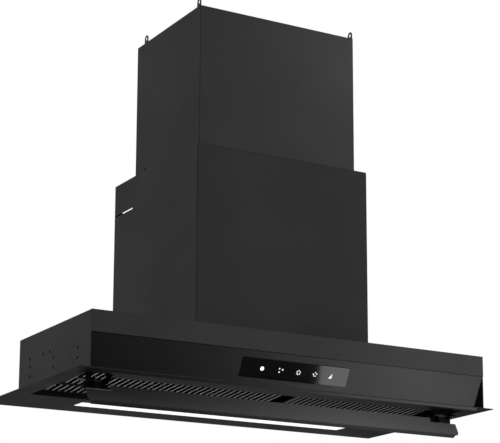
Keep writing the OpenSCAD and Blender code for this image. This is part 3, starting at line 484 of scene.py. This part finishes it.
def folded(node, finish, fold=1.2, nick=0.22, steps=3, name=None, join=True):
    """Stands a copy with real folds and cut edges in for a CAD solid."""
    form, piece = merged_copy(node, name or node + "_folded", join)
    count = weigh_edges(form, fold * MM, nick * MM)
    form.to_mesh(piece.data)
    form.free()
    bevel = piece.modifiers.new("folds", "BEVEL")
    bevel.limit_method = "WEIGHT"
    bevel.width = fold * MM
    bevel.segments = steps
    bevel.use_clamp_overlap = False
    bevel.miter_outer = "MITER_ARC"
    plain_mesh(piece)
    if join:
        crisp_shading(piece)
        plain_mesh(piece)
    else:
        for face in piece.data.polygons:
            face.use_smooth = max(abs(c) for c in face.normal) < SQUARE_ON
    piece.data.materials.clear()
    piece.data.materials.append(finish)
    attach(piece, nodes[node]["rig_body"])
    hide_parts(node)
    print(f"{piece.name}: {count} folds, {len(piece.data.polygons)} faces")
    return piece


print("sheet bricks ready")

# %% [markdown]
# The big covers come first: both chimney covers, the canopy, its front rail and slanted panel,
# the trim flange and the frame at the back.

# %% Outer sheets
folded("upper_chimney", chimney_coat, fold=1.6)
folded("lower_chimney", chimney_coat, fold=1.6)
folded("canopy_shell", chimney_coat, fold=1.4, join=False)
folded("front_rail", panel_coat, fold=1.4)
folded("control_fascia", panel_coat, fold=1.2)
folded("bottom_flange", flange_coat, fold=1.2)
folded("rear_frame", chimney_coat, fold=1.4, join=False)
folded("deflector_flap", strip_coat, fold=1.1)
folded("hanging_tabs", chimney_coat, fold=0.3, nick=0.2)
folded("filter_rail_front", flange_coat, fold=0.9)
folded("filter_rail_rear", flange_coat, fold=0.9)
folded("filter_divider", inner_coat, fold=0.9)

# %% [markdown]
# A grease filter is a shallow tray pressed from sheet, with long slots that run front to back.
# The tray's solid is dressed like the other sheets. What makes it look pressed is the bar between
# two slots: it is crowned, not flat. One crowned bar, repeated, is work for Geometry Nodes.

# %% Filter trays
folded("filter_left", grille_coat, fold=0.8, nick=0.25, steps=2)
folded("filter_right", grille_coat, fold=0.8, nick=0.25, steps=2)

# %% [markdown]
# Each tree below is built in the same three moves: name the inputs, place the copies, and end in
# Realize Instances and Set Material. A modifier's input is set by its identifier, and the result
# is turned into a plain mesh before it is handed to the frame.

# %% Bricks for the node trees
def new_tree(name, inputs):
    """A Geometry Nodes tree with named inputs; returns the tree, its input node and identifiers."""
    tree = bpy.data.node_groups.new(name, "GeometryNodeTree")
    kinds = {float: "NodeSocketFloat", int: "NodeSocketInt", str: "NodeSocketMaterial"}
    ids = {}
    for label, kind in inputs.items():
        socket = tree.interface.new_socket(name=label, in_out="INPUT", socket_type=kinds[kind])
        ids[label] = socket.identifier
    tree.interface.new_socket(name="Geometry", in_out="OUTPUT", socket_type="NodeSocketGeometry")
    return tree, tree.nodes.new("NodeGroupInput"), ids


def add(tree, kind, **settings):
    """Adds a node and sets its options."""
    node = tree.nodes.new(kind)
    for key, value in settings.items():
        setattr(node, key, value)
    return node


def vector_of(tree, *values):
    """Three values, each a socket or a number, as one vector."""
    joined = add(tree, "ShaderNodeCombineXYZ")
    for socket, value in zip(joined.inputs, values):
        feed(tree, value, socket)
    return joined.outputs["Vector"]


def moved(tree, geometry, **settings):
    """A geometry scaled, turned and shifted, each by a socket or by three numbers."""
    move = add(tree, "GeometryNodeTransform")
    tree.links.new(geometry, move.inputs["Geometry"])
    for name, value in settings.items():
        feed(tree, value, move.inputs[name])
    return move.outputs["Geometry"]


def repeated(tree, points, copy, turn=None):
    """One copy of a geometry on each point."""
    placed = add(tree, "GeometryNodeInstanceOnPoints")
    tree.links.new(points, placed.inputs["Points"])
    tree.links.new(copy, placed.inputs["Instance"])
    if turn is not None:
        tree.links.new(turn, placed.inputs["Rotation"])
    return placed.outputs["Instances"]


def finish_tree(tree, given, geometry):
    """Ends a tree in Realize Instances and Set Material."""
    real = add(tree, "GeometryNodeRealizeInstances")
    paint = add(tree, "GeometryNodeSetMaterial")
    out = add(tree, "NodeGroupOutput")
    tree.links.new(geometry, real.inputs["Geometry"])
    tree.links.new(real.outputs["Geometry"], paint.inputs["Geometry"])
    tree.links.new(given.outputs["Material"], paint.inputs["Material"])
    tree.links.new(paint.outputs["Geometry"], out.inputs["Geometry"])


def grow(name, tree, ids, values, place=None, smooth=40):
    """Runs a tree with its values, bakes the result to a plain mesh and puts it in place."""
    piece = bpy.data.objects.new(name, bpy.data.meshes.new(name))
    scene.collection.objects.link(piece)
    modifier = piece.modifiers.new("grow", "NODES")
    modifier.node_group = tree
    for label, value in values.items():
        modifier[ids[label]] = value
    plain_mesh(piece)
    if place is not None:
        piece.data.transform(place)
    form = bmesh.new()
    form.from_mesh(piece.data)
    bmesh.ops.remove_doubles(form, verts=form.verts, dist=FINE_WELD)
    bmesh.ops.recalc_face_normals(form, faces=form.faces)
    form.to_mesh(piece.data)
    form.free()
    piece.data.shade_smooth()
    piece.data.set_sharp_from_angle(angle=math.radians(smooth))
    print(f"{name}: {len(piece.data.polygons)} faces")
    return piece


print("tree bricks ready")

# %% [markdown]
# The crowned bar starts as a cylinder lying along the slot, squashed flat. The tree lines up as
# many of them as the tray has bars, and leaves out those nearer to the middle than a given reach,
# where the rear row makes room for the latch. Its place on the sloping tray is applied
# afterwards. The same tree makes the wider, dark baffles that are seen through the slots.

# %% Crowned filter bars
def crowned_bars():
    """Tree: a row of squashed rods along Y, spaced along X, centred on the origin."""
    tree, given, ids = new_tree("crowned_bars", {
        "Count": int, "Pitch": float, "Width": float, "Height": float, "Length": float,
        "Skip": float, "Material": str})
    given_of = given.outputs
    rod = add(tree, "GeometryNodeMeshCylinder")
    rod.inputs["Vertices"].default_value = 12
    rod.inputs["Radius"].default_value = 0.5
    rod.inputs["Depth"].default_value = 1.0
    size = vector_of(tree, given_of["Width"], given_of["Length"], given_of["Height"])
    lying = moved(tree, rod.outputs["Mesh"], Rotation=(math.pi / 2, 0, 0))
    sized = moved(tree, lying, Scale=size)
    index = add(tree, "GeometryNodeInputIndex").outputs["Index"]
    half = reckon(tree, "DIVIDE", reckon(tree, "SUBTRACT", given_of["Count"], 1.0), 2.0)
    across = reckon(tree, "MULTIPLY", reckon(tree, "SUBTRACT", index, half), given_of["Pitch"])
    points = add(tree, "GeometryNodePoints")
    tree.links.new(given_of["Count"], points.inputs["Count"])
    tree.links.new(vector_of(tree, across), points.inputs["Position"])
    near_latch = add(tree, "FunctionNodeCompare", data_type="FLOAT", operation="LESS_THAN")
    tree.links.new(reckon(tree, "ABSOLUTE", across), near_latch.inputs["A"])
    tree.links.new(given_of["Skip"], near_latch.inputs["B"])
    kept = add(tree, "GeometryNodeDeleteGeometry", domain="POINT")
    tree.links.new(points.outputs["Points"], kept.inputs["Geometry"])
    tree.links.new(near_latch.outputs["Result"], kept.inputs["Selection"])
    finish_tree(tree, given, repeated(tree, kept.outputs["Geometry"], sized))
    return tree, ids


bars_tree, bars_ids = crowned_bars()
SLOT_PITCH, SLOT_WIDTH = 12.6 * MM, 6.3 * MM
TRAY_EDGE = 32 * MM
TRAY_TILT = math.radians(4.6)
SLOT_ROWS = {"front": (7 * MM, 167 * MM, 0.0), "rear": (182 * MM, 227.8 * MM, 37 * MM)}
BAR_CROWN, BAR_LESS = 0.5 * MM, 1.9 * MM
EXTRA_BARS, EXTRA_BAFFLES = 3, 2
BAFFLE_UP, BAFFLE_WIDTH, BAFFLE_CROWN = 5.5 * MM, 13.0 * MM, 3.0 * MM


def tray_place(side, y, z=0.0):
    """Puts a shape on a tray, y down its slope from the pivot and z above its underside."""
    pivot = Vector(joints[side + "_filter_swing"]["pos_m"])
    low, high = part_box("filter_" + side)
    middle = (low[0] + high[0]) / 2
    spot = Matrix.Translation((middle, pivot.y, pivot.z)) @ Matrix.Rotation(-TRAY_TILT, 4, "X")
    return spot @ Matrix.Translation((0, y, z))


for side in ("left", "right"):
    low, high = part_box("filter_" + side)
    slots = int((high[0] - low[0] - TRAY_EDGE) / SLOT_PITCH)
    for row, (y0, y1, skip) in SLOT_ROWS.items():
        shared = {"Pitch": SLOT_PITCH, "Length": y1 - y0, "Skip": skip}
        bars = grow(f"filter_{side}_{row}_bars", bars_tree, bars_ids, {
            "Count": slots + EXTRA_BARS, "Width": SLOT_PITCH - SLOT_WIDTH - BAR_LESS,
            "Height": BAR_CROWN, "Material": bar_painted_light_coat, **shared},
            tray_place(side, (y0 + y1) / 2))
        baffles = grow(f"filter_{side}_{row}_baffles", bars_tree, bars_ids, {
            "Count": slots + EXTRA_BAFFLES, "Width": BAFFLE_WIDTH,
            "Height": BAFFLE_CROWN, "Material": baffle_coat, **shared},
            tray_place(side, (y0 + y1) / 2, BAFFLE_UP))
        for piece in (bars, baffles):
            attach(piece, side + "_filter")

# %% [markdown]
# The touch panel's glass gets a fine ground edge. Its five signs are flat white prints, so each
# is a thin shape that lies on the glass: a round dot, three dots, two rings of dots and a wedge.
# One sign is a list of dots and wedges, which keeps the whole row short.

# %% Touch panel
folded("control_glass", glass, fold=0.45, nick=0.3, name="touch_glass_plate")

glass_low, glass_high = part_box("control_glass")
glass_mid = Vector([(a + b) / 2 for a, b in zip(glass_low, glass_high)])
PANEL_RUN, PANEL_FALL = 33.0, 62.5
SLOPE = math.atan2(PANEL_RUN, PANEL_FALL)
GLASS_HALF_T = 1.5 * MM
PRINT_LIFT, PRINT_T = 0.02 * MM, 0.06 * MM
glass_frame = (Matrix.Translation(glass_mid) @ Matrix.Rotation(math.pi / 2 + SLOPE, 4, "X")
               @ Matrix.Translation((0, 0, GLASS_HALF_T + PRINT_LIFT)))


def ring(radius, dot, angles):
    """Dots round a circle, at given angles in degrees."""
    return [("dot", radius * math.cos(math.radians(a)), radius * math.sin(math.radians(a)), dot)
            for a in angles]


SIGNS = {
    -72: ring(2.5, 1.6, range(0, 360, 30)),
    -32: [("dot", -3.3, 3.5, 1.5), ("dot", 3.9, 2.0, 1.7), ("dot", -2.6, -3.2, 1.5)],
    7: ring(3.7, 1.3, (90, 155, 215, 262, 322, 25)),
    43.5: [("dot", -3.7, 0, 1.5), ("dot", 0.4, 3.4, 1.3), ("dot", 3.8, 1.0, 1.3),
           ("dot", -1.8, -3.2, 1.2), ("dot", 1.4, -3.2, 1.2)],
    77.5: [("wedge", -3.6, -4.8, 7.2, 9.6)],
}


def add_mark(form, mark, at):
    """Adds one dot or right-angled wedge, in millimetres on the glass."""
    kind, x, y, *size = mark
    if kind == "dot":
        turn = Matrix.Translation((at + x, y, 0))
        bmesh.ops.create_cone(form, cap_ends=True, segments=20, radius1=size[0], radius2=size[0],
                              depth=PRINT_T / MM, matrix=turn)
        return
    half = PRINT_T / MM / 2
    corners = [(at + x, y), (at + x + size[0], y), (at + x + size[0], y + size[1])]
    low, high = [[form.verts.new((u, v, level)) for u, v in corners] for level in (-half, half)]
    form.faces.new(low[::-1])
    form.faces.new(high)
    for i, j in ((0, 1), (1, 2), (2, 0)):
        form.faces.new((low[i], low[j], high[j], high[i]))


def piece_of(form, name, finish, place=None):
    """Turns an edited mesh into a piece with its finish."""
    mesh = bpy.data.meshes.new(name)
    form.to_mesh(mesh)
    form.free()
    if place is not None:
        mesh.transform(place)
    mesh.materials.append(finish)
    piece = bpy.data.objects.new(name, mesh)
    scene.collection.objects.link(piece)
    print(f"{name}: {len(mesh.polygons)} faces")
    return piece


signs_form = bmesh.new()
for sign_x, marks in SIGNS.items():
    for mark in marks:
        add_mark(signs_form, mark, sign_x)
signs = piece_of(signs_form, "touch_signs", sign_print, glass_frame @ Matrix.Scale(MM, 4))
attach(signs, "hood")

# %% [markdown]
# A pan head is a squashed ball cut off flat below, with a cross pressed into it. The tree makes
# one screw from two booleans and a shank, and sets it on the four corners of a grid. The sizes
# come from each CAD node's box, so the screws stay where the holes are.

# %% Pan head screws
def pan_screws():
    """Tree: four cross-recess screws on the corners of a rectangle, heads up along Z."""
    tree, given, ids = new_tree("pan_screws", {
        "Head Radius": float, "Head Height": float, "Shank Radius": float, "Shank Length": float,
        "Span X": float, "Span Y": float, "Material": str})
    link = tree.links.new

    def sized(label_xy, label_z, *factors):
        """Two radii and a height from the inputs, each times a factor."""
        labels = (label_xy, label_xy, label_z)
        return vector_of(tree, *[reckon(tree, "MULTIPLY", given.outputs[label], factor)
                                 for label, factor in zip(labels, factors)])

    head, shank = ("Head Radius", "Head Height"), ("Shank Radius", "Shank Length")
    ball = add(tree, "GeometryNodeMeshUVSphere")
    ball.inputs["Segments"].default_value = 24
    ball.inputs["Rings"].default_value = 14
    ball.inputs["Radius"].default_value = 1.0
    block = add(tree, "GeometryNodeMeshCube").outputs["Mesh"]
    dome = moved(tree, ball.outputs["Mesh"], Scale=sized(*head, 1, 1, 1.2))
    above = moved(tree, block, Scale=sized(*head, 3, 3, 1), Translation=sized(*head, 0, 0, 0.5))
    cut = add(tree, "GeometryNodeMeshBoolean", operation="INTERSECT")
    for part in (dome, above):
        link(part, cut.inputs["Mesh 2"])
    cross = add(tree, "GeometryNodeMeshBoolean", operation="DIFFERENCE")
    link(cut.outputs["Mesh"], cross.inputs["Mesh 1"])
    for factors in ((1.25, 0.26, 1.0), (0.26, 1.25, 1.0)):
        link(moved(tree, block, Scale=sized(*head, *factors), Translation=sized(*head, 0, 0, 0.95)),
             cross.inputs["Mesh 2"])
    rod = add(tree, "GeometryNodeMeshCylinder")
    rod.inputs["Vertices"].default_value = 16
    rod.inputs["Radius"].default_value = 1.0
    rod.inputs["Depth"].default_value = 1.0
    stem = moved(tree, rod.outputs["Mesh"], Scale=sized(*shank, 1, 1, 1),
                 Translation=sized(*shank, 0, 0, -0.5))
    screw = add(tree, "GeometryNodeJoinGeometry")
    for part in (cross.outputs["Mesh"], stem):
        link(part, screw.inputs["Geometry"])
    corners = add(tree, "GeometryNodeMeshGrid")
    corners.inputs["Vertices X"].default_value = 2
    corners.inputs["Vertices Y"].default_value = 2
    link(given.outputs["Span X"], corners.inputs["Size X"])
    link(given.outputs["Span Y"], corners.inputs["Size Y"])
    finish_tree(tree, given, repeated(tree, corners.outputs["Mesh"], screw.outputs["Geometry"]))
    return tree, ids


screws_tree, screws_ids = pan_screws()
SCREWS = {
    "flange_screws": (3.6, 1.8, 2.0, 1.0, "up", black_plastic, "black_plastic"),
    "chimney_screws": (3.8, 1.4, 2.0, 1.0, "up", black_plastic, "black_plastic"),
    "motor_screws": (4.5, 2.0, 2.0, 15.0, "front", bright_steel, "bright_steel"),
}
for node, (head_r, head_h, shank_r, shank_l, faces, finish, slot) in SCREWS.items():
    low, high = [Vector(corner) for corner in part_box(node)]
    middle, span = (low + high) / 2, high - low
    if faces == "up":
        across = span.y
        spot = Matrix.Translation((middle.x, middle.y, high.z - head_h * MM))
    else:
        across = span.z
        spot = (Matrix.Translation((middle.x, low.y + head_h * MM, middle.z))
                @ Matrix.Rotation(math.pi / 2, 4, "X"))
    screws = grow(node + "_cross", screws_tree, screws_ids, {
        "Head Radius": head_r * MM, "Head Height": head_h * MM, "Shank Radius": shank_r * MM,
        "Shank Length": shank_l * MM, "Span X": span.x - 2 * head_r * MM,
        "Span Y": across - 2 * head_r * MM, "Material": finish}, spot)
    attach(screws, nodes[node]["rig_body"])
    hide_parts(node)

# %% [markdown]
# The fan wheel is moulded: a disc with a hub, a ring in front, and blades that curve forward like
# scoops. Each of these is a rectangle swept along a circle or an arc, and the blade is repeated
# round the axis.

# %% Fan wheel
def drum_wheel():
    """Tree: a drum fan wheel round Z, its disc at nought and its ring at the far end."""
    tree, given, ids = new_tree("drum_wheel", {
        "Radius": float, "Length": float, "Hub Radius": float, "Shaft Radius": float,
        "Blades": int, "Material": str})
    link = tree.links.new

    def sweep(rail, width, height, lift):
        """A rectangle swept along a curve, lifted along Z."""
        section = add(tree, "GeometryNodeCurvePrimitiveQuadrilateral")
        feed(tree, width, section.inputs["Width"])
        feed(tree, height, section.inputs["Height"])
        body = add(tree, "GeometryNodeCurveToMesh")
        body.inputs["Fill Caps"].default_value = True
        link(rail, body.inputs["Curve"])
        link(section.outputs["Curve"], body.inputs["Profile Curve"])
        return moved(tree, body.outputs["Mesh"], Translation=vector_of(tree, 0.0, 0.0, lift))

    def hoop(inner, outer, height, lift):
        """A flat ring between two radii."""
        circle = add(tree, "GeometryNodeCurvePrimitiveCircle")
        circle.inputs["Resolution"].default_value = 96
        middle = reckon(tree, "MULTIPLY", reckon(tree, "ADD", inner, outer), 0.5)
        link(middle, circle.inputs["Radius"])
        return sweep(circle.outputs["Curve"], reckon(tree, "SUBTRACT", outer, inner), height, lift)

    radius, length = given.outputs["Radius"], given.outputs["Length"]
    hub, shaft = given.outputs["Hub Radius"], given.outputs["Shaft Radius"]
    disc_t, ring_t, ring_w, hub_h = 2 * MM, 3 * MM, 13 * MM, 24 * MM
    blade_r, blade_t, blade_in = 12 * MM, 0.9 * MM, 14.5 * MM
    disc = hoop(hub, radius, disc_t, disc_t / 2)
    boss = hoop(shaft, hub, hub_h, hub_h / 2)
    mouth = hoop(reckon(tree, "SUBTRACT", radius, ring_w), radius, ring_t,
                 reckon(tree, "SUBTRACT", length, ring_t / 2))
    arc = add(tree, "GeometryNodeCurveArc")
    arc.inputs["Resolution"].default_value = 10
    arc.inputs["Radius"].default_value = blade_r
    arc.inputs["Start Angle"].default_value = math.radians(-92)
    arc.inputs["Sweep Angle"].default_value = math.radians(80)
    scoop = sweep(arc.outputs["Curve"], blade_t, reckon(tree, "SUBTRACT", length, disc_t),
                  reckon(tree, "MULTIPLY", length, 0.5))
    blade = moved(tree, scoop, Translation=vector_of(
        tree, reckon(tree, "SUBTRACT", radius, blade_in), blade_r))
    index = add(tree, "GeometryNodeInputIndex").outputs["Index"]
    step = reckon(tree, "DIVIDE", math.tau, given.outputs["Blades"])
    turn = vector_of(tree, 0.0, 0.0, reckon(tree, "MULTIPLY", index, step))
    points = add(tree, "GeometryNodePoints")
    link(given.outputs["Blades"], points.inputs["Count"])
    joined = add(tree, "GeometryNodeJoinGeometry")
    for part in (disc, boss, mouth, repeated(tree, points.outputs["Points"], blade, turn)):
        link(part, joined.inputs["Geometry"])
    finish_tree(tree, given, joined.outputs["Geometry"])
    return tree, ids


wheel_tree, wheel_ids = drum_wheel()
low, high = [Vector(corner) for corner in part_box("fan_wheel")]
wheel_spot = (Matrix.Translation(((low.x + high.x) / 2, high.y, (low.z + high.z) / 2))
              @ Matrix.Rotation(math.pi / 2, 4, "X"))
wheel = grow("fan_wheel_scoops", wheel_tree, wheel_ids, {
    "Radius": (high.x - low.x) / 2, "Length": high.y - low.y, "Hub Radius": 16 * MM,
    "Shaft Radius": 4 * MM, "Blades": 36, "Material": damper_plastic}, wheel_spot)
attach(wheel, "fan_rotor")
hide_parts("fan_wheel")
print("wheel:", [round(v, 4) for v in high - low], "made:", [round(v, 4) for v in wheel.dimensions])

# %% [markdown]
# Behind each rear edge of the lower cover a thin dark strip in the rubber finish is painted shadow:
# it stands for the shadow at the step to the rear frame and draws the dark upright line there.

# %% Painted shadow lines behind the lower cover
SHADOW_LINE_DEEP, SHADOW_LINE_OUT, SHADOW_LINE_END = 1.6 * MM, 0.7 * MM, 3.0 * MM
SHADOW_LINE_ROUND, SHADOW_LINE_FILL = 0.2 * MM, 0.96
cover_low, cover_high = [Vector(corner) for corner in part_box("lower_chimney")]
frame_low, frame_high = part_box("rear_frame")
shadow_line_size = Vector((SHADOW_LINE_OUT, SHADOW_LINE_DEEP * SHADOW_LINE_FILL, cover_high.z - cover_low.z - 2 * SHADOW_LINE_END))
shadow_line_form = bmesh.new()
for face_x, way in ((frame_low[0], -1), (frame_high[0], 1)):
    centre = Vector((face_x + way * SHADOW_LINE_OUT / 2, cover_high.y + SHADOW_LINE_DEEP / 2,
                     (cover_low.z + cover_high.z) / 2))
    bmesh.ops.create_cube(shadow_line_form, size=1, matrix=(
        Matrix.Translation(centre) @ Matrix.Diagonal((*shadow_line_size, 1))))
bmesh.ops.bevel(shadow_line_form, geom=shadow_line_form.edges[:], offset=SHADOW_LINE_ROUND, segments=2, affect="EDGES")
# Painted shadow: dark strips where the step to the rear frame is in shadow.
shadow_lines = piece_of(shadow_line_form, "cover_edge_painted_shadow", soft_rubber)
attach(shadow_lines, "hood")

# %% [markdown]
# The slanted panel's light seems to run on a little below the flange's front edge. There the
# sheet ends in a hem, a narrow lip folded under, which hides the cut edge from the cook. It
# slants as the panel does, so it mirrors the same lamp.

# %% Hem under the flange's front edge
HEM_FALL, HEM_T, HEM_SHORT = 5.1 * MM, 1.2 * MM, 16.0 * MM
HEM_ROUND = 0.3 * MM
flange_low = Vector(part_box("bottom_flange")[0])
panel_low, panel_high = [Vector(corner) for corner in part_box("control_fascia")]
hem_y, hem_run = flange_low.y, HEM_FALL * math.tan(SLOPE)
section = [(hem_y, flange_low.z), (hem_y + hem_run, flange_low.z - HEM_FALL),
           (hem_y + hem_run + HEM_T, flange_low.z - HEM_FALL), (hem_y + HEM_T, flange_low.z)]
hem_form = bmesh.new()
left_end, right_end = [[hem_form.verts.new((x, y, z)) for y, z in section]
                       for x in (panel_low.x + HEM_SHORT, panel_high.x - HEM_SHORT)]
hem_form.faces.new(left_end)
hem_form.faces.new(right_end[::-1])
for i in range(len(section)):
    j = (i + 1) % len(section)
    hem_form.faces.new((left_end[j], left_end[i], right_end[i], right_end[j]))
bmesh.ops.recalc_face_normals(hem_form, faces=hem_form.faces)
bmesh.ops.bevel(hem_form, geom=hem_form.edges[:], offset=HEM_ROUND, segments=2, affect="EDGES")
hem = piece_of(hem_form, "front_hem", panel_coat)
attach(hem, "hood")

# %% [markdown]
# The rest of the hinges, latches, blower and electronics keep their CAD shapes in finer copies. A
# dictionary pairs each with its finish, so that no piece is forgotten.

# %% Mechanism and inner parts
INNER = {
    "control_carrier": (black_plastic, "black_plastic", 0.6),
    "touch_board": (green_board, "board", 0.2),
    "light_tray": (zinc, "zinc_sheet", 0.8),
    "led_diffuser": (milky, "milky_cover", 0.5),
    "led_board": (white_board, "white_board", 0.2),
    "filter_latch_left": (black_plastic, "black_plastic", 0.6),
    "filter_latch_right": (black_plastic, "black_plastic", 0.6),
    "flap_bracket_left": (inner_coat, "black_plastic", 0.5),
    "flap_bracket_right": (inner_coat, "black_plastic", 0.5),
    "flap_pins": (pin_steel, "bright_steel", 0.4),
    "fan_box": (zinc, "zinc_sheet", 0.9),
    "scroll_housing": (zinc, "zinc_sheet", 0.5),
    "inlet_ring": (zinc, "zinc_sheet", 0.4),
    "wheel_nut": (bright_steel, "bright_steel", 0.5),
    "motor": (motor_metal, "motor_case", 1.5),
    "motor_bearings": (bright_steel, "bright_steel", 0.4),
    "motor_grommets": (soft_rubber, "rubber", 0.6),
    "capacitor": (can_metal, "can_aluminium", 0.8),
    "capacitor_clip": (zinc, "zinc_sheet", 0.4),
    "outlet_collar": (damper_plastic, "damper_plastic", 0.5),
    "damper_leaf_front": (damper_plastic, "damper_plastic", 0.3),
    "damper_leaf_rear": (damper_plastic, "damper_plastic", 0.3),
    "wall_bracket": (zinc, "zinc_sheet", 1.4),
    "clip_nuts": (inner_coat, "black_paint", 0.3),
    "electronics_box": (black_plastic, "black_plastic", 1.2),
    "electronics_lid": (black_plastic, "black_plastic", 0.6),
    "power_board": (green_board, "board", 0.3),
    "cable_gland": (black_plastic, "black_plastic", 0.5),
}
for node, (finish, slot, radius) in INNER.items():
    nick = min(0.2, radius / 2)
    folded(node, finish, fold=radius, nick=nick, steps=2, join=node != "fan_box")

KEPT = {"rotor_shaft": bright_steel, "damper_pin": bright_steel}
for node, finish in KEPT.items():
    mesh = nodes[node].data
    mesh.materials.clear()
    mesh.materials.append(finish)
print("kept solids:", len(KEPT))

# %% [markdown]
# The picture has a plain white ground and soft light. The floor is pale and lies where a
# kitchen's floor would, and lights nothing itself. The white ground is seen by the camera alone;
# what lights the steel is a dimmer sky and large soft lamps, since a black satin face shows
# little but what it mirrors.

# %% Floor
FLOOR_Z = -1.65
FLOOR_REACH = 14.0
CORNERS = ((-1, -1), (1, -1), (1, 1), (-1, 1))
floor_mesh = bpy.data.meshes.new("floor")
floor_mesh.from_pydata([(x * FLOOR_REACH, y * FLOOR_REACH, FLOOR_Z) for x, y in CORNERS],
                       [], [(0, 1, 2, 3)])
floor = bpy.data.objects.new("floor", floor_mesh)
scene.collection.objects.link(floor)
floor_paint, _, floor_shader = new_finish("pale_floor", (0.8, 0.8, 0.8), 0.7)
floor_shader.inputs["Emission Color"].default_value = (1, 1, 1, 1)
floor_shader.inputs["Emission Strength"].default_value = 0.5
floor_mesh.materials.append(floor_paint)
floor.visible_glossy = False
floor.visible_diffuse = False
print("floor at", FLOOR_Z, "m")

# %% [markdown]
# The sky is a ramp over the height of the direction looked in. Each stop is a height, from
# straight down at minus one to straight up at one, with its brightness.

# %% Sky
SKY = [(-1.0, 0.05), (-0.25, 0.05), (0.10, 0.355), (0.50, 0.427), (1.0, 0.0)]
world = bpy.data.worlds.new("studio")
scene.world = world
world.use_nodes = True
sky = world.node_tree
ground = sky.nodes["Background"]
ground.inputs["Color"].default_value = (1, 1, 1, 1)
dim = sky.nodes.new("ShaderNodeBackground")
direction = sky.nodes.new("ShaderNodeTexCoord")
split = sky.nodes.new("ShaderNodeSeparateXYZ")
lifted = sky.nodes.new("ShaderNodeMapRange")
lifted.inputs["From Min"].default_value = -1.0
height = sky.nodes.new("ShaderNodeValToRGB")
for index, (level, light) in enumerate(SKY):
    stops = height.color_ramp.elements
    stop = stops[index] if index < 2 else stops.new((level + 1) / 2)
    stop.position = (level + 1) / 2
    stop.color = (light, light, light, 1)
path = sky.nodes.new("ShaderNodeLightPath")
either = sky.nodes.new("ShaderNodeMixShader")
for start, end in ((direction.outputs["Generated"], split.inputs["Vector"]),
                   (split.outputs["Z"], lifted.inputs["Value"]),
                   (lifted.outputs["Result"], height.inputs["Fac"]),
                   (height.outputs["Color"], dim.inputs["Color"]),
                   (path.outputs["Is Camera Ray"], either.inputs["Fac"]),
                   (dim.outputs["Background"], either.inputs[1]),
                   (ground.outputs["Background"], either.inputs[2]),
                   (either.outputs["Shader"], sky.nodes["World Output"].inputs["Surface"])):
    sky.links.new(start, end)
print("sky stops:", len(SKY))

# %% [markdown]
# A lamp shows in a flat black face only where that face mirrors it towards the camera. So each
# lamp stands on such a mirror line: one for the faces in front, one for the slanted panel with
# its glass, one for the underside, and near ones that make the fronts lighter to the right. The
# sheets round the slanted panel would shade it, so they let its lamp's light by, as a wide bright
# floor would send light round them. The strip under the flange and the filter bars have lamps of
# their own, because they are lighter than their neighbours in the picture.

# %% Soft lamps
LAMPS = {
    "front_lamp": ((1.65, -3.15, 1.15), (0, -0.39, 0.33), (2.4, 1.8), 7.2),
    "near_right_lamp": ((0.90, -1.00, 1.15), (0.05, -0.38, 0.60), (0.5, 0.6), 1.7),
    "rail_right_lamp": ((1.35, -1.62, 0.37), (0.4, -0.447, 0.085), (0.6, 0.3), 1.05),
    "low_right_lamp": ((0.976, -1.17, -0.66), (0.976, -0.43, 0.035), (0.600, 0.7), 3.45),
    "strip_lamp": ((0.20, -0.75, 0.0), (0.20, -0.39, -0.03), (0.3, 0.1), 1.3),
    "under_lamp": ((0.85, 1.80, -0.58), (-0.4, -0.3, 0.0), (1.4, 0.8), 0.34),
    "bars_lamp": ((0.85, 1.80, -0.58), (-0.4, -0.3, 0.0), (1.4, 0.8), 22.0),
}


def soft_lamp(name, at, aim, size, power):
    """A rectangular soft lamp at a place, aimed at a point, that the camera doesn't see."""
    lamp_data = bpy.data.lights.new(name, "AREA")
    lamp_data.shape = "RECTANGLE"
    lamp_data.size, lamp_data.size_y = size
    lamp_data.energy = power
    lamp = bpy.data.objects.new(name, lamp_data)
    lamp.location = at
    lamp.rotation_euler = (Vector(aim) - Vector(at)).to_track_quat("-Z", "Y").to_euler()
    lamp.visible_camera = False
    scene.collection.objects.link(lamp)
    return lamp


def link_group(name, pieces, state):
    """A collection that names pieces as taken in or left out by a lamp."""
    group = bpy.data.collections.new(name)
    for piece in pieces:
        group.objects.link(bpy.data.objects[piece])
    for entry in group.collection_objects:
        entry.light_linking.link_state = state
    return group


lamps = {name: soft_lamp(name, *settings) for name, settings in LAMPS.items()}
LET_LIGHT_BY = ["bottom_flange_folded", "front_hem", "canopy_shell_folded"]
lamps["low_right_lamp"].light_linking.blocker_collection = link_group(
    "light_goes_by", LET_LIGHT_BY, "EXCLUDE")
LIT_ALONE = {
    "near_right_lamp": ["upper_chimney_folded"],
    "rail_right_lamp": ["front_rail_folded"],
    "strip_lamp": ["deflector_flap_folded"],
    "bars_lamp": [f"filter_{side}_{row}_bars" for side in ("left", "right") for row in SLOT_ROWS],
}
for name, pieces in LIT_ALONE.items():
    lamps[name].light_linking.receiver_collection = link_group(name + "_lights", pieces, "INCLUDE")
lamps["strip_lamp"].light_linking.blocker_collection = link_group(
    "strip_shades", ["deflector_flap_folded"], "INCLUDE")
print("lamps:", len(lamps))
